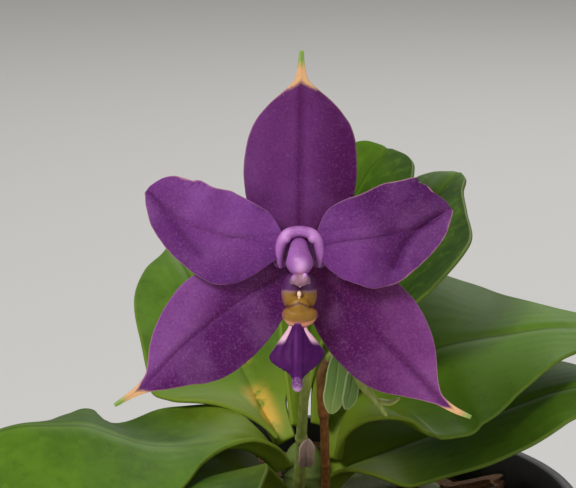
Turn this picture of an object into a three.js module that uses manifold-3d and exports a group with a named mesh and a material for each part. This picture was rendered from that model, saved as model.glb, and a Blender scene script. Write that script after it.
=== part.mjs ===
// Potted Phalaenopsis violacea: one open bloom on a short spike, above broad leaves in a nursery pot.
// Millimetres, +Z up. The origin is the centre of the pot's foot, and the bloom faces -Y.

import * as THREE from 'three';
import { mergeVertices } from 'three/addons/utils/BufferGeometryUtils.js';
import Module from 'manifold-3d';

const POT_HEIGHT = 92;
const POT_FOOT_RADIUS = 41;
const POT_RIM_RADIUS = 56;
const POT_WALL = 1.6;
const POT_BAND_HEIGHT = 9;
const POT_BAND_OUT = 1.4;
const POT_SIDES = 44;
const DRAIN_HOLES = 5;
const DRAIN_HOLE_RADIUS = 4;
const DRAIN_RING_RADIUS = 27;

const BARK_TOP = 85;
const BARK_MOUND = 2.6;
const CHIP_RINGS = [[5, 11], [9, 22], [13, 33], [17, 43.5]];
const CHIP_SIZE = [14, 9, 6];

const CROWN = [3, 2];
const CROWN_TOP = 103;
const CROWN_RADIUS = 4;
const ROOT_RADIUS = 2.1;
const ROOT_ROOM = 0.45;
const ROOT_SIDES = 7;
const ROOT_STEP = 3.2;
const STEM_FOOT = 74;
const STEM_HOLE_DEPTH = 40;

const BLOOM_CENTRE = [2.1, -45, 150];
const BLOOM_PITCH = THREE.MathUtils.degToRad(8);
const TEPAL_THICKNESS = [1.0, 0.62];
const LEAF_THICKNESS = [1.7, 0.9];
const NARROWEST = 0.3;
const GAP = 0.3;

const wasm = await Module();
wasm.setup();

const finish = (color, roughness) => new THREE.MeshStandardMaterial({ color, roughness, metalness: 0 });
const PURPLE = finish(0x6b3a86, 0.55);
const DEEP_PURPLE = finish(0x5f2a78, 0.5);
const LILAC = finish(0xb98ac8, 0.45);
const CAP_LILAC = finish(0xd9bfdc, 0.4);
const LIP_PURPLE = finish(0x6e2f8c, 0.45);
const LEAF_GREEN = finish(0x5f8a2c, 0.5);
const SPIKE_BROWN = finish(0x6b3620, 0.6);
const SPIKE_GREEN = finish(0x7fa24a, 0.5);
const STEM_GREEN = finish(0x9fae7a, 0.7);
const BARK_BROWN = finish(0x5a3d2b, 0.95);
const POT_BLACK = finish(0x26282a, 0.6);

// A smooth value along a length, through points of [distance, value], with no overshoot
function along(points) {
  const slope = points.slice(1).map((p, i) => (p[1] - points[i][1]) / (p[0] - points[i][0]));
  const tangent = points.map((_, i) => {
    if (i === 0) return slope[0];
    if (i === slope.length) return slope[i - 1];
    const product = slope[i - 1] * slope[i];
    return product <= 0 ? 0 : (2 * product) / (slope[i - 1] + slope[i]);
  });
  return (d) => {
    let i = 0;
    while (i < slope.length - 1 && d > points[i + 1][0]) i += 1;
    const h = points[i + 1][0] - points[i][0];
    const u = THREE.MathUtils.clamp((d - points[i][0]) / h, 0, 1);
    const start = (2 * u ** 3 - 3 * u ** 2 + 1) * points[i][1] + (u ** 3 - 2 * u ** 2 + u) * h * tangent[i];
    const end = (3 * u ** 2 - 2 * u ** 3) * points[i + 1][1] + (u ** 3 - u ** 2) * h * tangent[i + 1];
    return start + end;
  };
}

// A smooth line through points, read by its distance in millimetres
function line(points) {
  const distance = [0];
  points.slice(1).forEach((p, i) => {
    distance.push(distance[i] + Math.hypot(p[0] - points[i][0], p[1] - points[i][1], p[2] - points[i][2]));
  });
  const axes = [0, 1, 2].map((k) => along(points.map((p, i) => [distance[i], p[k]])));
  const length = distance[distance.length - 1];
  const at = (d) => new THREE.Vector3(axes[0](d), axes[1](d), axes[2](d));
  const tangent = (d) => at(Math.min(d + 0.2, length)).sub(at(Math.max(d - 0.2, 0))).normalize();
  return { at, tangent, length };
}

// A closed body from two grids of points, one for each face, split into triangles alike on both
function shell(upper, lower) {
  const rows = upper.length;
  const cols = upper[0].length;
  const position = [];
  [upper, lower].forEach((grid) => grid.forEach((row) => row.forEach((p) => position.push(p.x, p.y, p.z))));
  const top = (i, j) => i * cols + j;
  const under = (i, j) => rows * cols + i * cols + j;
  const index = [];
  const quad = (a, b, c, d, flip) => {
    if (flip) index.push(a, b, d, b, c, d);
    else index.push(a, b, c, a, c, d);
  };
  for (let i = 0; i < rows - 1; i += 1) {
    for (let j = 0; j < cols - 1; j += 1) {
      const flip = j < (cols - 1) / 2;
      quad(top(i, j), top(i, j + 1), top(i + 1, j + 1), top(i + 1, j), flip);
      quad(under(i, j + 1), under(i, j), under(i + 1, j), under(i + 1, j + 1), !flip);
    }
    quad(top(i, 0), top(i + 1, 0), under(i + 1, 0), under(i, 0), false);
    quad(top(i, cols - 1), under(i, cols - 1), under(i + 1, cols - 1), top(i + 1, cols - 1), false);
  }
  for (let j = 0; j < cols - 1; j += 1) {
    quad(top(0, j), under(0, j), under(0, j + 1), top(0, j + 1), false);
    quad(top(rows - 1, j), top(rows - 1, j + 1), under(rows - 1, j + 1), under(rows - 1, j), false);
  }
  const geometry = new THREE.BufferGeometry();
  geometry.setAttribute('position', new THREE.Float32BufferAttribute(position, 3));
  geometry.setIndex(index);
  return geometry;
}

// A leaf, sepal or petal: a midline, which way its face looks, half-widths to each side, how far each
// half is raised from flat, how it cups, and the waves of its edge
function blade(spec) {
  const { rows, cols, thickness } = spec;
  const mid = line(spec.spine);
  const facing = [0, 1, 2].map((k) => along(spec.facing.map((f) => [f[0] * mid.length, f[1][k]])));
  const widths = [along(spec.left), along(spec.right ?? spec.left)];
  const lifts = [along(spec.liftLeft ?? spec.lift), along(spec.liftRight ?? spec.lift)];
  const cup = along(spec.cup ?? [[0, 0], [1, 0]]);
  const wave = spec.wave ?? { height: 0, length: 30, phase: 0 };
  const surface = (d, s) => {
    const side = s < 0 ? 0 : 1;
    const full = Math.max(widths[side](d), NARROWEST);
    const reach = full * Math.abs(s);
    const angle = THREE.MathUtils.degToRad(lifts[side](d));
    const forward = mid.tangent(d);
    const face = new THREE.Vector3(facing[0](d), facing[1](d), facing[2](d));
    const across = forward.clone().cross(face).normalize();
    const out = across.clone().cross(forward).normalize();
    const swell = Math.sin((2 * Math.PI * d) / wave.length + wave.phase + side * 1.9);
    const rise = Math.sin(angle) * reach + cup(d) * full * s * s;
    const ripple = wave.height * swell * s * s * Math.min(1, full / spec.broad);
    return mid.at(d).addScaledVector(across, Math.sign(s) * Math.cos(angle) * reach)
      .addScaledVector(out, rise + ripple);
  };
  const upper = [];
  const lower = [];
  for (let i = 0; i <= rows; i += 1) {
    const d = mid.length * (i / rows);
    upper.push([]);
    lower.push([]);
    for (let j = -cols; j <= cols; j += 1) {
      const s = j / cols;
      const p = surface(d, s);
      const du = surface(Math.min(d + 0.3, mid.length), s).sub(surface(Math.max(d - 0.3, 0), s));
      const ds = surface(d, Math.min(s + 0.05, 1)).sub(surface(d, Math.max(s - 0.05, -1)));
      const normal = ds.cross(du).normalize();
      const body = thickness[1] + (thickness[0] - thickness[1]) * (1 - Math.abs(s)) ** 1.3;
      upper[i].push(p.clone().addScaledVector(normal, body / 2));
      lower[i].push(p.clone().addScaledVector(normal, -body / 2));
    }
  }
  return shell(upper, lower);
}

// A stalk or root: rings round a line, closed at both ends, flattened by depth where it is below 1
function stalk(points, radii, sides, depth = 1, step = 2.4) {
  const mid = line(points);
  const radius = along(radii.map((r) => [r[0] * mid.length, r[1]]));
  const steps = Math.max(6, Math.round(mid.length / step));
  const position = [];
  let across = new THREE.Vector3(1, 0, 0);
  for (let i = 0; i <= steps; i += 1) {
    const d = (mid.length * i) / steps;
    const forward = mid.tangent(d);
    across = across.addScaledVector(forward, -forward.dot(across)).normalize();
    const out = across.clone().cross(forward);
    for (let k = 0; k < sides; k += 1) {
      const turn = (2 * Math.PI * k) / sides;
      const p = mid.at(d).addScaledVector(across, Math.cos(turn) * radius(d))
        .addScaledVector(out, -Math.sin(turn) * radius(d) * depth);
      position.push(p.x, p.y, p.z);
    }
  }
  const first = mid.at(0);
  const last = mid.at(mid.length);
  position.push(first.x, first.y, first.z, last.x, last.y, last.z);
  const foot = (steps + 1) * sides;
  const index = [];
  for (let k = 0; k < sides; k += 1) {
    const next = (k + 1) % sides;
    for (let i = 0; i < steps; i += 1) {
      const a = i * sides + k;
      const b = i * sides + next;
      index.push(a, b, b + sides, a, b + sides, a + sides);
    }
    index.push(foot, next, k, foot + 1, steps * sides + k, steps * sides + next);
  }
  const geometry = new THREE.BufferGeometry();
  geometry.setAttribute('position', new THREE.Float32BufferAttribute(position, 3));
  geometry.setIndex(index);
  return geometry;
}

// A rounded lump, turned and placed
function lump(radii, at, turn = [0, 0, 0], detail = [12, 8]) {
  const geometry = new THREE.SphereGeometry(1, detail[0], detail[1]);
  const pose = new THREE.Matrix4().compose(
    new THREE.Vector3(...at),
    new THREE.Quaternion().setFromEuler(new THREE.Euler(...turn.map(THREE.MathUtils.degToRad))),
    new THREE.Vector3(...radii),
  );
  return geometry.applyMatrix4(pose);
}

function solid(geometry) {
  const bare = geometry.clone();
  bare.deleteAttribute('normal');
  bare.deleteAttribute('uv');
  const merged = mergeVertices(bare, 1e-4);
  return new wasm.Manifold(new wasm.Mesh({
    numProp: 3,
    vertProperties: new Float32Array(merged.attributes.position.array),
    triVerts: new Uint32Array(merged.index.array),
  }));
}

function fromSolid(body) {
  const mesh = body.getMesh();
  const geometry = new THREE.BufferGeometry();
  geometry.setAttribute('position', new THREE.Float32BufferAttribute(mesh.vertProperties, 3));
  geometry.setIndex(Array.from(mesh.triVerts));
  return geometry;
}

const fuse = (geometries) => fromSolid(geometries.map(solid).reduce((whole, next) => whole.add(next)));

// Seeded draw, the same each run
function draws(seed) {
  let state = seed;
  return (low, high) => {
    state = (state * 1664525 + 1013904223) % 4294967296;
    return low + ((high - low) * state) / 4294967296;
  };
}

const potted = new THREE.Group();
const bloom = new THREE.Group();
bloom.position.set(...BLOOM_CENTRE);
bloom.rotation.x = Math.PI / 2 - BLOOM_PITCH;
potted.add(bloom);

function place(group, name, geometry, material) {
  const mesh = new THREE.Mesh(geometry, material);
  mesh.name = name;
  group.add(mesh);
}

// Pot: one moulded shell with a band under its rim and holes round its floor
const potRadius = (z) => POT_FOOT_RADIUS + ((POT_RIM_RADIUS - POT_FOOT_RADIUS) * z) / POT_HEIGHT;
const potOutline = [
  [0, 0],
  [POT_FOOT_RADIUS - 1.5, 0],
  [POT_FOOT_RADIUS, 1.5],
  [potRadius(POT_HEIGHT - POT_BAND_HEIGHT), POT_HEIGHT - POT_BAND_HEIGHT],
  [potRadius(POT_HEIGHT - POT_BAND_HEIGHT) + POT_BAND_OUT, POT_HEIGHT - POT_BAND_HEIGHT],
  [POT_RIM_RADIUS + POT_BAND_OUT, POT_HEIGHT - 1],
  [POT_RIM_RADIUS + POT_BAND_OUT - 0.7, POT_HEIGHT],
  [POT_RIM_RADIUS - POT_WALL + 0.4, POT_HEIGHT],
  [POT_RIM_RADIUS - POT_WALL, POT_HEIGHT - 0.8],
  [POT_FOOT_RADIUS - POT_WALL + 0.4, POT_WALL + 1.5],
  [POT_FOOT_RADIUS - POT_WALL - 1.5, POT_WALL],
  [0, POT_WALL],
].map((p) => new THREE.Vector2(...p));
let potBody = solid(new THREE.LatheGeometry(potOutline, POT_SIDES).rotateX(Math.PI / 2));
for (let i = 0; i < DRAIN_HOLES; i += 1) {
  const turn = (2 * Math.PI * i) / DRAIN_HOLES;
  const hole = new THREE.CylinderGeometry(DRAIN_HOLE_RADIUS, DRAIN_HOLE_RADIUS, 6, 14).rotateX(Math.PI / 2);
  hole.translate(DRAIN_RING_RADIUS * Math.cos(turn), DRAIN_RING_RADIUS * Math.sin(turn), POT_WALL / 2);
  potBody = potBody.subtract(solid(hole));
}
place(potted, 'pot', fromSolid(potBody), POT_BLACK);

// Short stem, with thick roots that leave it under the leaves and run over and into the bark
const stemBody = new THREE.LatheGeometry([
  [0, STEM_FOOT],
  [2.6, STEM_FOOT + 1],
  [3.6, STEM_FOOT + 8],
  [CROWN_RADIUS, STEM_FOOT + 16],
  [CROWN_RADIUS, CROWN_TOP - 6],
  [3.2, CROWN_TOP - 2],
  [1.8, CROWN_TOP],
  [0, CROWN_TOP + 0.4],
].map((p) => new THREE.Vector2(...p)), 14).rotateX(Math.PI / 2).translate(CROWN[0], CROWN[1], 0);
const ROOTS = [
  [[4, -1, 88], [8, -10, 90.5], [13, -19, 89.5], [17, -28, 84], [19, -33, 76]],
  [[2, -1, 87.5], [-6, -9, 91], [-16, -15, 90.5], [-26, -18, 86], [-32, -20, 77]],
  [[2, 5, 87], [-4, 14, 90.5], [-12, 23, 90], [-18, 31, 84], [-21, 35, 76]],
  [[5, 4, 87], [12, 12, 90.5], [22, 18, 90], [31, 21, 85], [36, 23, 76]],
  [[6, 0, 86.5], [15, -4, 90.5], [26, -6, 90], [35, -10, 85.5], [40, -12, 77]],
];
const root = (points, grow) => stalk(points, [
  [0, ROOT_RADIUS * 1.1 + grow],
  [0.5, ROOT_RADIUS + grow],
  [1, ROOT_RADIUS * 0.75 + grow],
], ROOT_SIDES, 1, ROOT_STEP);
place(potted, 'stem_and_roots', fuse([stemBody, ...ROOTS.map((points) => root(points, 0))]), STEM_GREEN);

// Bark: a filled core with chips standing out of its top, and plain holes where stem and roots go in
const barkCore = new THREE.LatheGeometry([
  [0, POT_WALL + GAP],
  [POT_FOOT_RADIUS - POT_WALL - 2.5, POT_WALL + GAP],
  [potRadius(BARK_TOP) - POT_WALL - 1.2, BARK_TOP],
  [36, BARK_TOP + BARK_MOUND * 0.4],
  [18, BARK_TOP + BARK_MOUND],
  [0, BARK_TOP + BARK_MOUND],
].map((p) => new THREE.Vector2(...p)), 24).rotateX(Math.PI / 2);
const draw = draws(41);
const chips = [];
CHIP_RINGS.forEach(([count, radius]) => {
  for (let i = 0; i < count; i += 1) {
    const size = CHIP_SIZE.map((s) => s * draw(0.75, 1.15));
    const chip = new THREE.BoxGeometry(...size).toNonIndexed();
    const bare = new THREE.BufferGeometry().setAttribute('position', chip.attributes.position);
    const broken = mergeVertices(bare);
    const p = broken.attributes.position;
    for (let k = 0; k < p.count; k += 1) {
      p.setXYZ(k, p.getX(k) * draw(0.8, 1.05), p.getY(k) * draw(0.7, 1.1), p.getZ(k) * draw(0.75, 1.1));
    }
    broken.rotateX(draw(-0.45, 0.45)).rotateY(draw(-0.35, 0.35)).rotateZ(draw(0, Math.PI));
    const turn = (2 * Math.PI * (i + draw(-0.2, 0.2))) / count + radius;
    const reach = radius + draw(-1.2, 1.2);
    const height = BARK_TOP + BARK_MOUND * (1 - reach / 60) + draw(-0.8, 0.7);
    chips.push(broken.translate(reach * Math.cos(turn), reach * Math.sin(turn), height));
  }
});
const stemHole = new THREE.CylinderGeometry(CROWN_RADIUS + 0.6, CROWN_RADIUS + 0.4, STEM_HOLE_DEPTH, 14)
  .rotateX(Math.PI / 2)
  .translate(CROWN[0], CROWN[1], STEM_FOOT - 1.5 + STEM_HOLE_DEPTH / 2);
let bark = solid(fuse([barkCore, ...chips])).subtract(solid(stemHole));
ROOTS.forEach((points) => {
  const end = points[points.length - 1];
  const before = points[points.length - 2];
  const past = end.map((v, k) => v + (v - before[k]) * 0.12);
  bark = bark.subtract(solid(root([...points, past], ROOT_ROOM)));
});
const largest = bark.decompose().sort((a, b) => b.volume() - a.volume())[0];
place(potted, 'bark', fromSolid(largest), BARK_BROWN);

// Leaves: broad, folded to a clasping channel at the foot, in two ranks from the bottom up
const LEAVES = {
  leaf_lower_left: {
    spine: [
      [-3.0, -1.5, 92.5], [-9.2, -9, 99.6], [-18.5, -18, 100.8], [-31, -28, 99.7], [-42, -34, 96.5],
      [-50, -37.5, 91.5],
    ],
    facing: [[0, [0.5, 0.4, 1]], [0.4, [0, -0.1, 1]], [1, [-0.3, -0.4, 1]]],
    left: [[0, 3.8], [9, 5], [18, 13], [30, 20], [44, 20], [56, 12], [62, 5], [66, 0.8]],
    right: [[0, 3.8], [4, 9], [8, 16], [16, 21], [30, 20], [44, 19], [56, 12], [62, 5], [66, 0.8]],
    liftLeft: [[0, 48], [12, 30], [26, 8], [66, -4]],
    liftRight: [[0, 48], [8, 28], [14, 6], [30, 0], [66, -4]],
    cup: [[0, 0], [66, -0.1]],
  },
  leaf_lower_right: {
    spine: [
      [8.9, 2, 92.8], [12.8, 2.2, 97.2], [22, 3, 101], [31.7, 3.4, 104.4], [41.5, 4, 107.8],
      [53.3, 5, 111.8], [64.5, 5, 114],
    ],
    facing: [[0, [-0.6, 0, 1]], [0.35, [-0.1, -0.2, 1]], [1, [-0.1, -0.2, 1]]],
    left: [[0, 3.6], [4, 7], [10, 15], [18, 21], [30, 23], [42, 21], [53, 14], [59, 7], [62.6, 0.8]],
    right: [
      [0, 3.6], [4, 7], [9, 12.5], [16, 16], [28, 16], [38, 14.5], [48, 12], [56, 8], [60, 4],
      [62.6, 0.8],
    ],
    liftLeft: [[0, 48], [12, 22], [24, 4], [62, 0]],
    liftRight: [[0, 48], [8, 14], [16, 2], [62, 0]],
    cup: [[0, 0], [30, -0.08], [62, -0.1]],
  },
  leaf_front_left: {
    spine: [
      [-2.2, -0.4, 97.6], [-5, -4, 102.3], [-9.2, -7, 105.2], [-13.9, -10, 106.1],
      [-20.7, -14, 106.4], [-26.6, -17, 107.6],
      [-32.3, -19, 110], [-38.9, -20, 112.3], [-48, -21, 112.6], [-57.5, -21, 110.1], [-65, -21.5, 106],
    ],
    facing: [[0, [0.6, 0.3, 1]], [0.25, [0.1, -0.1, 1]], [0.6, [0, -0.25, 1]], [1, [-0.2, -0.3, 1]]],
    left: [
      [0, 3.4], [10, 3.8], [18, 4.2], [25, 6.5], [31, 12], [38, 20], [48, 25], [58, 24], [68, 15],
      [74, 6], [77.4, 0.8],
    ],
    right: [
      [0, 3.6], [8, 6], [14, 13], [22, 21], [33, 23.5], [46, 21], [57, 16], [67, 11], [74, 5],
      [77.4, 0.8],
    ],
    liftLeft: [[0, 46], [12, 30], [20, 8], [34, -12], [77, -14]],
    liftRight: [[0, 46], [9, 32], [17, 4], [30, -15], [46, -20], [60, -28], [77, -27]],
    cup: [[0, 0], [40, -0.05], [77, -0.12]],
    wave: { height: 0.9, length: 40, phase: 0.4 },
  },
  leaf_right: {
    spine: [
      [9.9, 2.6, 98.8], [10.5, 4.2, 104.4], [12.3, 6.2, 109.4], [16.2, 8.3, 113.1],
      [21.1, 10, 115.4], [30.9, 12.5, 118.8],
      [42.1, 14, 120.5], [54, 14.5, 122], [63.4, 14.5, 121.6],
    ],
    facing: [[0, [-0.9, -0.2, 1]], [0.3, [-0.3, -0.3, 1]], [0.7, [0, -0.27, 1]], [1, [0.1, -0.2, 1]]],
    left: [[0, 3.6], [8, 5], [15, 14], [24, 27], [34, 30], [43, 24], [51, 15], [58, 9], [64, 6], [68, 0.8]],
    right: [
      [0, 3.6], [5, 9], [10, 19], [17, 25], [26, 26], [35, 24.5], [44, 21], [53, 15.5], [61, 9],
      [66, 4], [68, 0.8],
    ],
    liftLeft: [[0, 38], [9, 34], [18, 18], [30, 7], [68, 2]],
    liftRight: [[0, 38], [8, 20], [14, -6], [26, -8], [36, -2], [68, 2]],
    cup: [[0, 0], [30, -0.04], [68, -0.06]],
    wave: { height: 1.2, length: 34, phase: 2.2 },
  },
  leaf_back_left: {
    spine: [
      [-1.8, 5, 101.1], [-4.7, 9, 106.1], [-8.2, 15, 111.1], [-12.9, 22, 117.5], [-17.9, 30, 124.2],
      [-21.9, 38, 129.6],
      [-24.4, 44, 132],
    ],
    facing: [[0, [0.6, -0.5, 0.9]], [0.5, [0.35, -0.7, 0.8]], [1, [0.1, -0.5, 1]]],
    left: [
      [0, 4], [3, 6], [7, 11], [12, 18.5], [18, 20.5], [24, 18.8], [31, 17], [41, 13.5], [49, 8], [53, 3],
      [55.6, 0.8],
    ],
    right: [[0, 3.6], [7, 5], [14, 12], [24, 19], [36, 19], [46, 13], [52, 6], [55.6, 0.8]],
    liftLeft: [[0, 50], [7, 20], [13, 0], [20, -3], [32, 4], [55, 4]],
    liftRight: [[0, 50], [9, 42], [18, 18], [30, 6], [55, 4]],
    cup: [[0, 0], [55, -0.08]],
  },
  leaf_back_right: {
    spine: [
      [6.9, 4.4, 105], [9.8, 8, 114.5], [16, 16, 125.6], [23.6, 28, 136], [30.8, 40.5, 143.2],
      [35.6, 48.6, 146.6],
    ],
    facing: [[0, [-0.6, -0.7, 0.6]], [0.5, [-0.4, -0.8, 0.6]], [1, [-0.3, -0.6, 0.9]]],
    left: [[0, 2.6], [10, 3.4], [22, 5], [34, 7], [46, 8], [58, 7], [64, 4.5], [67.5, 0.8]],
    right: [[0, 2.6], [8, 6], [16, 16], [25, 25], [36, 23], [48, 14], [58, 7], [64, 4], [67.5, 0.8]],
    lift: [[0, 52], [14, 44], [34, 34], [68, 26]],
    cup: [[0, 0], [68, -0.1]],
  },
  leaf_newest: {
    spine: [[2.2, 5.2, 104.6], [3.8, 12.6, 118.2], [9, 24, 136], [15.6, 33.4, 148.4], [20.4, 39.4, 153.6]],
    facing: [[0, [-0.3, -1, 0.2]], [0.6, [-0.3, -0.9, 0.5]], [1, [0, -0.6, 0.9]]],
    left: [[0, 2.2], [8, 4.5], [16, 7], [26, 9], [40, 11], [50, 10], [56, 7.5], [59.6, 5], [61.4, 0.8]],
    right: [[0, 2.2], [8, 4.5], [16, 7], [26, 10], [40, 14], [50, 15], [56, 12], [59.6, 7], [61.4, 0.8]],
    lift: [[0, 60], [20, 48], [61, 34]],
    cup: [[0, 0], [61, -0.12]],
  },
};
Object.entries(LEAVES).forEach(([name, spec]) => {
  const geometry = blade({ rows: 15, cols: 4, thickness: LEAF_THICKNESS, broad: 24, ...spec });
  place(potted, name, geometry, LEAF_GREEN);
});

// Flower spike: the brown-red stalk, then the green zigzag end with its bracts and forked tip
place(potted, 'peduncle', stalk([
  [5.6, -3.2, 94], [6.6, -6.6, 94.6], [7.2, -10.4, 97.6], [7.0, -18, 107.2], [6.6, -25, 115.8],
  [6, -30, 121.5],
  [6, -33, 126], [7, -35, 129.2],
], [[0, 1.1], [0.2, 0.85], [0.66, 0.8], [0.7, 1.0], [0.74, 0.8], [1, 0.85]], 8), SPIKE_BROWN);

function bract(spine, facing, half, length) {
  const left = [
    [0, half * 0.7],
    [length * 0.3, half],
    [length * 0.7, half],
    [length * 0.93, half * 0.55],
    [length, NARROWEST],
  ];
  return blade({
    spine, facing: [[0, facing], [1, facing]], left, lift: [[0, 24], [length, 14]], rows: 6, cols: 2,
    thickness: [1.1, 0.7], broad: 24,
  });
}
const rachisLine = [
  [7.4, -35.4, 129.9], [9, -36.2, 131], [11, -37, 129.6], [12.6, -37.8, 127], [14.6, -38.8, 124.4],
  [17.7, -40, 120.4],
];
place(potted, 'rachis_and_bracts', fuse([
  stalk(rachisLine, [[0, 0.9], [0.25, 1.5], [0.4, 1.1], [0.55, 1.5], [0.75, 1.0], [1, 0.45]], 8, 0.62),
  bract([[9.4, -36.4, 131], [8.8, -37.2, 126], [7.7, -38, 120.2]], [-0.2, -1, 0.1], 2.1, 11),
  bract([[11.8, -37.3, 128.8], [11.2, -38, 124.4], [10.4, -38.6, 121.2]], [0.2, -1, 0.1], 1.5, 7.8),
  stalk([
    [15.6, -39.1, 123], [18, -39.7, 122.8], [20, -40.2, 123.8],
  ], [[0, 0.8], [0.5, 0.7], [1, 0.4]], 6, 0.7),
]), SPIKE_GREEN);

// Older spike, grown out, with one dry bract round a joint
place(potted, 'old_spike', fuse([
  stalk([
    [2.2, -3.2, 95], [2.3, -6, 98.4], [2.5, -12, 107.4], [2.8, -18, 114.5], [3, -22, 119.6],
    [3.1, -25, 124.2],
  ], [[0, 1.3], [0.3, 1.0], [0.45, 1.05], [0.7, 0.9], [0.94, 0.85], [1, 0.45]], 8),
  bract([[3.3, -10.6, 101.8], [3.5, -12.4, 104.6], [3.7, -13.4, 108]], [0.1, -1, 0.5], 1.6, 7),
]), SPIKE_GREEN);

// Pedicel and ovary, up from the green stalk to the back of the bloom
place(potted, 'pedicel', stalk([
  [9.2, -35.0, 132.8], [8.4, -33.6, 137], [6.4, -34.2, 143], [3.8, -37.6, 148], [2.3, -41, 149.7],
  [2.1, -43.2, 149.8],
], [[0, 0.9], [0.4, 1.0], [0.7, 1.5], [0.92, 1.7], [1, 1.2]], 8), SPIKE_GREEN);

// Sepals and petals, in the bloom's own frame: X right, Y up, Z towards the viewer
const tepal = (spec) => blade({ rows: 18, cols: 4, thickness: TEPAL_THICKNESS, broad: 9, ...spec });
const toFront = [[0, [0, 0, 1]], [1, [0, 0, 1]]];
place(bloom, 'dorsal_sepal', tepal({
  spine: [
    [0, 0.9, -0.7], [0, 8, -1], [0, 16, -0.8], [0.1, 24, 0], [0.2, 30, 1.2], [0.2, 33.5, 2.2],
    [0.25, 37, 3.2],
  ],
  facing: toFront,
  left: [
    [0, 0.9], [1.2, 2.2], [3.5, 5], [7, 8], [11, 9.3], [15, 9.6], [19.6, 9.1], [22.6, 8.2],
    [25, 6.7], [27, 5], [29.6, 2.4],
    [31.2, 1.1], [33, 0.7], [36.3, 0.32],
  ],
  right: [
    [0, 0.9], [1.2, 2.2], [3.5, 5], [7, 8], [11, 9.3], [15, 9.7], [19.6, 9.5], [22.6, 8.7],
    [25, 7.2], [27, 5.5], [29.6, 2.6],
    [31.2, 1.1], [33, 0.7], [36.3, 0.32],
  ],
  lift: [[0, 6], [10, 4], [36, 2]],
  cup: [[0, 0], [14, 0.08], [36, 0.02]],
}), PURPLE);
place(bloom, 'petal_left', tepal({
  rows: 14,
  spine: [
    [-3.3, 2.9, 0.9], [-8, 4, 1.7], [-13, 5, 2.2], [-18, 6.5, 2.4], [-22.2, 8.7, 2.3], [-25, 11, 2],
    [-26.7, 12.7, 1.6],
  ],
  facing: toFront,
  left: [
    [0, 2], [1.6, 3.8], [3.5, 5.9], [7.1, 8.1], [10.3, 9], [13.2, 8.2], [16, 6.9], [18.5, 5.7],
    [21, 4.4], [23.6, 2.6], [26.2, 0.5],
  ],
  right: [
    [0, 2], [1.8, 3.9], [4.5, 5.9], [8, 7.3], [12, 7.8], [17, 7.8], [20, 7.4], [23, 6.3], [25, 4.4],
    [26.2, 0.6],
  ],
  liftLeft: [[0, 8], [8, 2], [26, -6]],
  liftRight: [[0, 8], [10, 7], [26, 12]],
  cup: [[0, 0], [14, -0.06], [26, -0.08]],
  wave: { height: 0.35, length: 8, phase: 0.6 },
}), PURPLE);
place(bloom, 'petal_right', tepal({
  rows: 14,
  spine: [
    [3.3, 2.9, 0.9], [8, 3.9, 1.8], [13, 4.6, 2.3], [18, 5.6, 2.3], [22.3, 7, 2], [24.8, 8.4, 1.8],
    [26.3, 9.6, 1.5],
  ],
  facing: toFront,
  left: [
    [0, 2], [1.6, 4.6], [3.5, 6.3], [7, 7.7], [11, 8.5], [15.3, 8.9], [19, 8.5], [21.5, 7.3],
    [23.2, 5.6], [24.3, 3.3], [24.9, 0.6],
  ],
  right: [
    [0, 2], [1.4, 4.2], [3.4, 6.4], [6.3, 8], [9.2, 9], [11.5, 8.9], [14, 8], [16.6, 6.6],
    [19, 5.2], [21.5, 3.4], [23.5, 1.6], [24.9, 0.6],
  ],
  liftLeft: [[0, 8], [10, 4], [25, -4]],
  liftRight: [[0, 8], [10, 10], [17, 20], [25, 18]],
  cup: [[0, 0], [14, -0.05], [25, -0.05]],
  wave: { height: 0.35, length: 9, phase: 2.4 },
}), PURPLE);
place(bloom, 'lateral_sepal_left', tepal({
  spine: [
    [-0.75, -0.6, -0.7], [-4.9, -3.2, -0.8], [-11.5, -7.6, -0.6], [-18.2, -12.8, 0.1], [-21.9, -16.1, 0.7],
    [-25.6, -19.9, 1.6], [-28, -21.9, 2.2], [-30.2, -23.4, 2.8], [-32.4, -24.85, 3.4],
  ],
  facing: toFront,
  left: [
    [0, 0.6], [1.2, 1.3], [3, 3.1], [6.9, 6.8], [12.2, 8.8], [15.8, 9.4], [19, 9.5], [22, 9.1],
    [25.4, 7.8], [28.4, 5.7],
    [31.2, 3.5], [33.6, 1.7], [35.8, 0.9], [40, 0.32],
  ],
  right: [
    [0, 0.6], [1.2, 1.1], [3, 2.7], [5, 4.8], [9, 7.4], [13, 8.4], [17, 8.6], [20.5, 7.9],
    [25.6, 5.8], [28.3, 4.1],
    [30.6, 2.4], [32.7, 1.1], [35, 0.6], [40, 0.32],
  ],
  lift: [[0, 4], [10, 9], [24, 9], [40, 2]],
  cup: [[0, 0], [18, -0.07], [40, 0]],
}), DEEP_PURPLE);
place(bloom, 'lateral_sepal_right', tepal({
  spine: [
    [0.75, -0.6, -0.7], [4.5, -3.8, -0.8], [9.5, -8.4, -0.5], [14, -13, 0.1], [19, -18, 1.1],
    [22.4, -21.6, 1.9],
    [24.7, -24, 2.4], [27, -25.6, 2.9], [29.9, -26.95, 3.4],
  ],
  facing: toFront,
  left: [
    [0, 0.6], [1.2, 1.3], [3, 3.1], [6.5, 6.6], [10.5, 8.4], [14.1, 8.9], [17, 8.9], [20, 8.4],
    [24.3, 6.7], [26.9, 5],
    [29, 3.3], [31.2, 1.6], [33.3, 0.7], [39.5, 0.32],
  ],
  right: [
    [0, 0.6], [1.2, 1.1], [3, 2.6], [5, 4.6], [8.6, 7], [12, 8], [15.8, 8.5], [18.8, 8.5],
    [21.6, 8.1], [24, 7.4],
    [26, 6.4], [28.5, 4.5], [31.3, 2.5], [33.8, 1], [39.5, 0.32],
  ],
  lift: [[0, 4], [10, 9], [24, 9], [39, 2]],
  cup: [[0, 0], [18, -0.07], [39, 0]],
}), DEEP_PURPLE);

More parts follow.
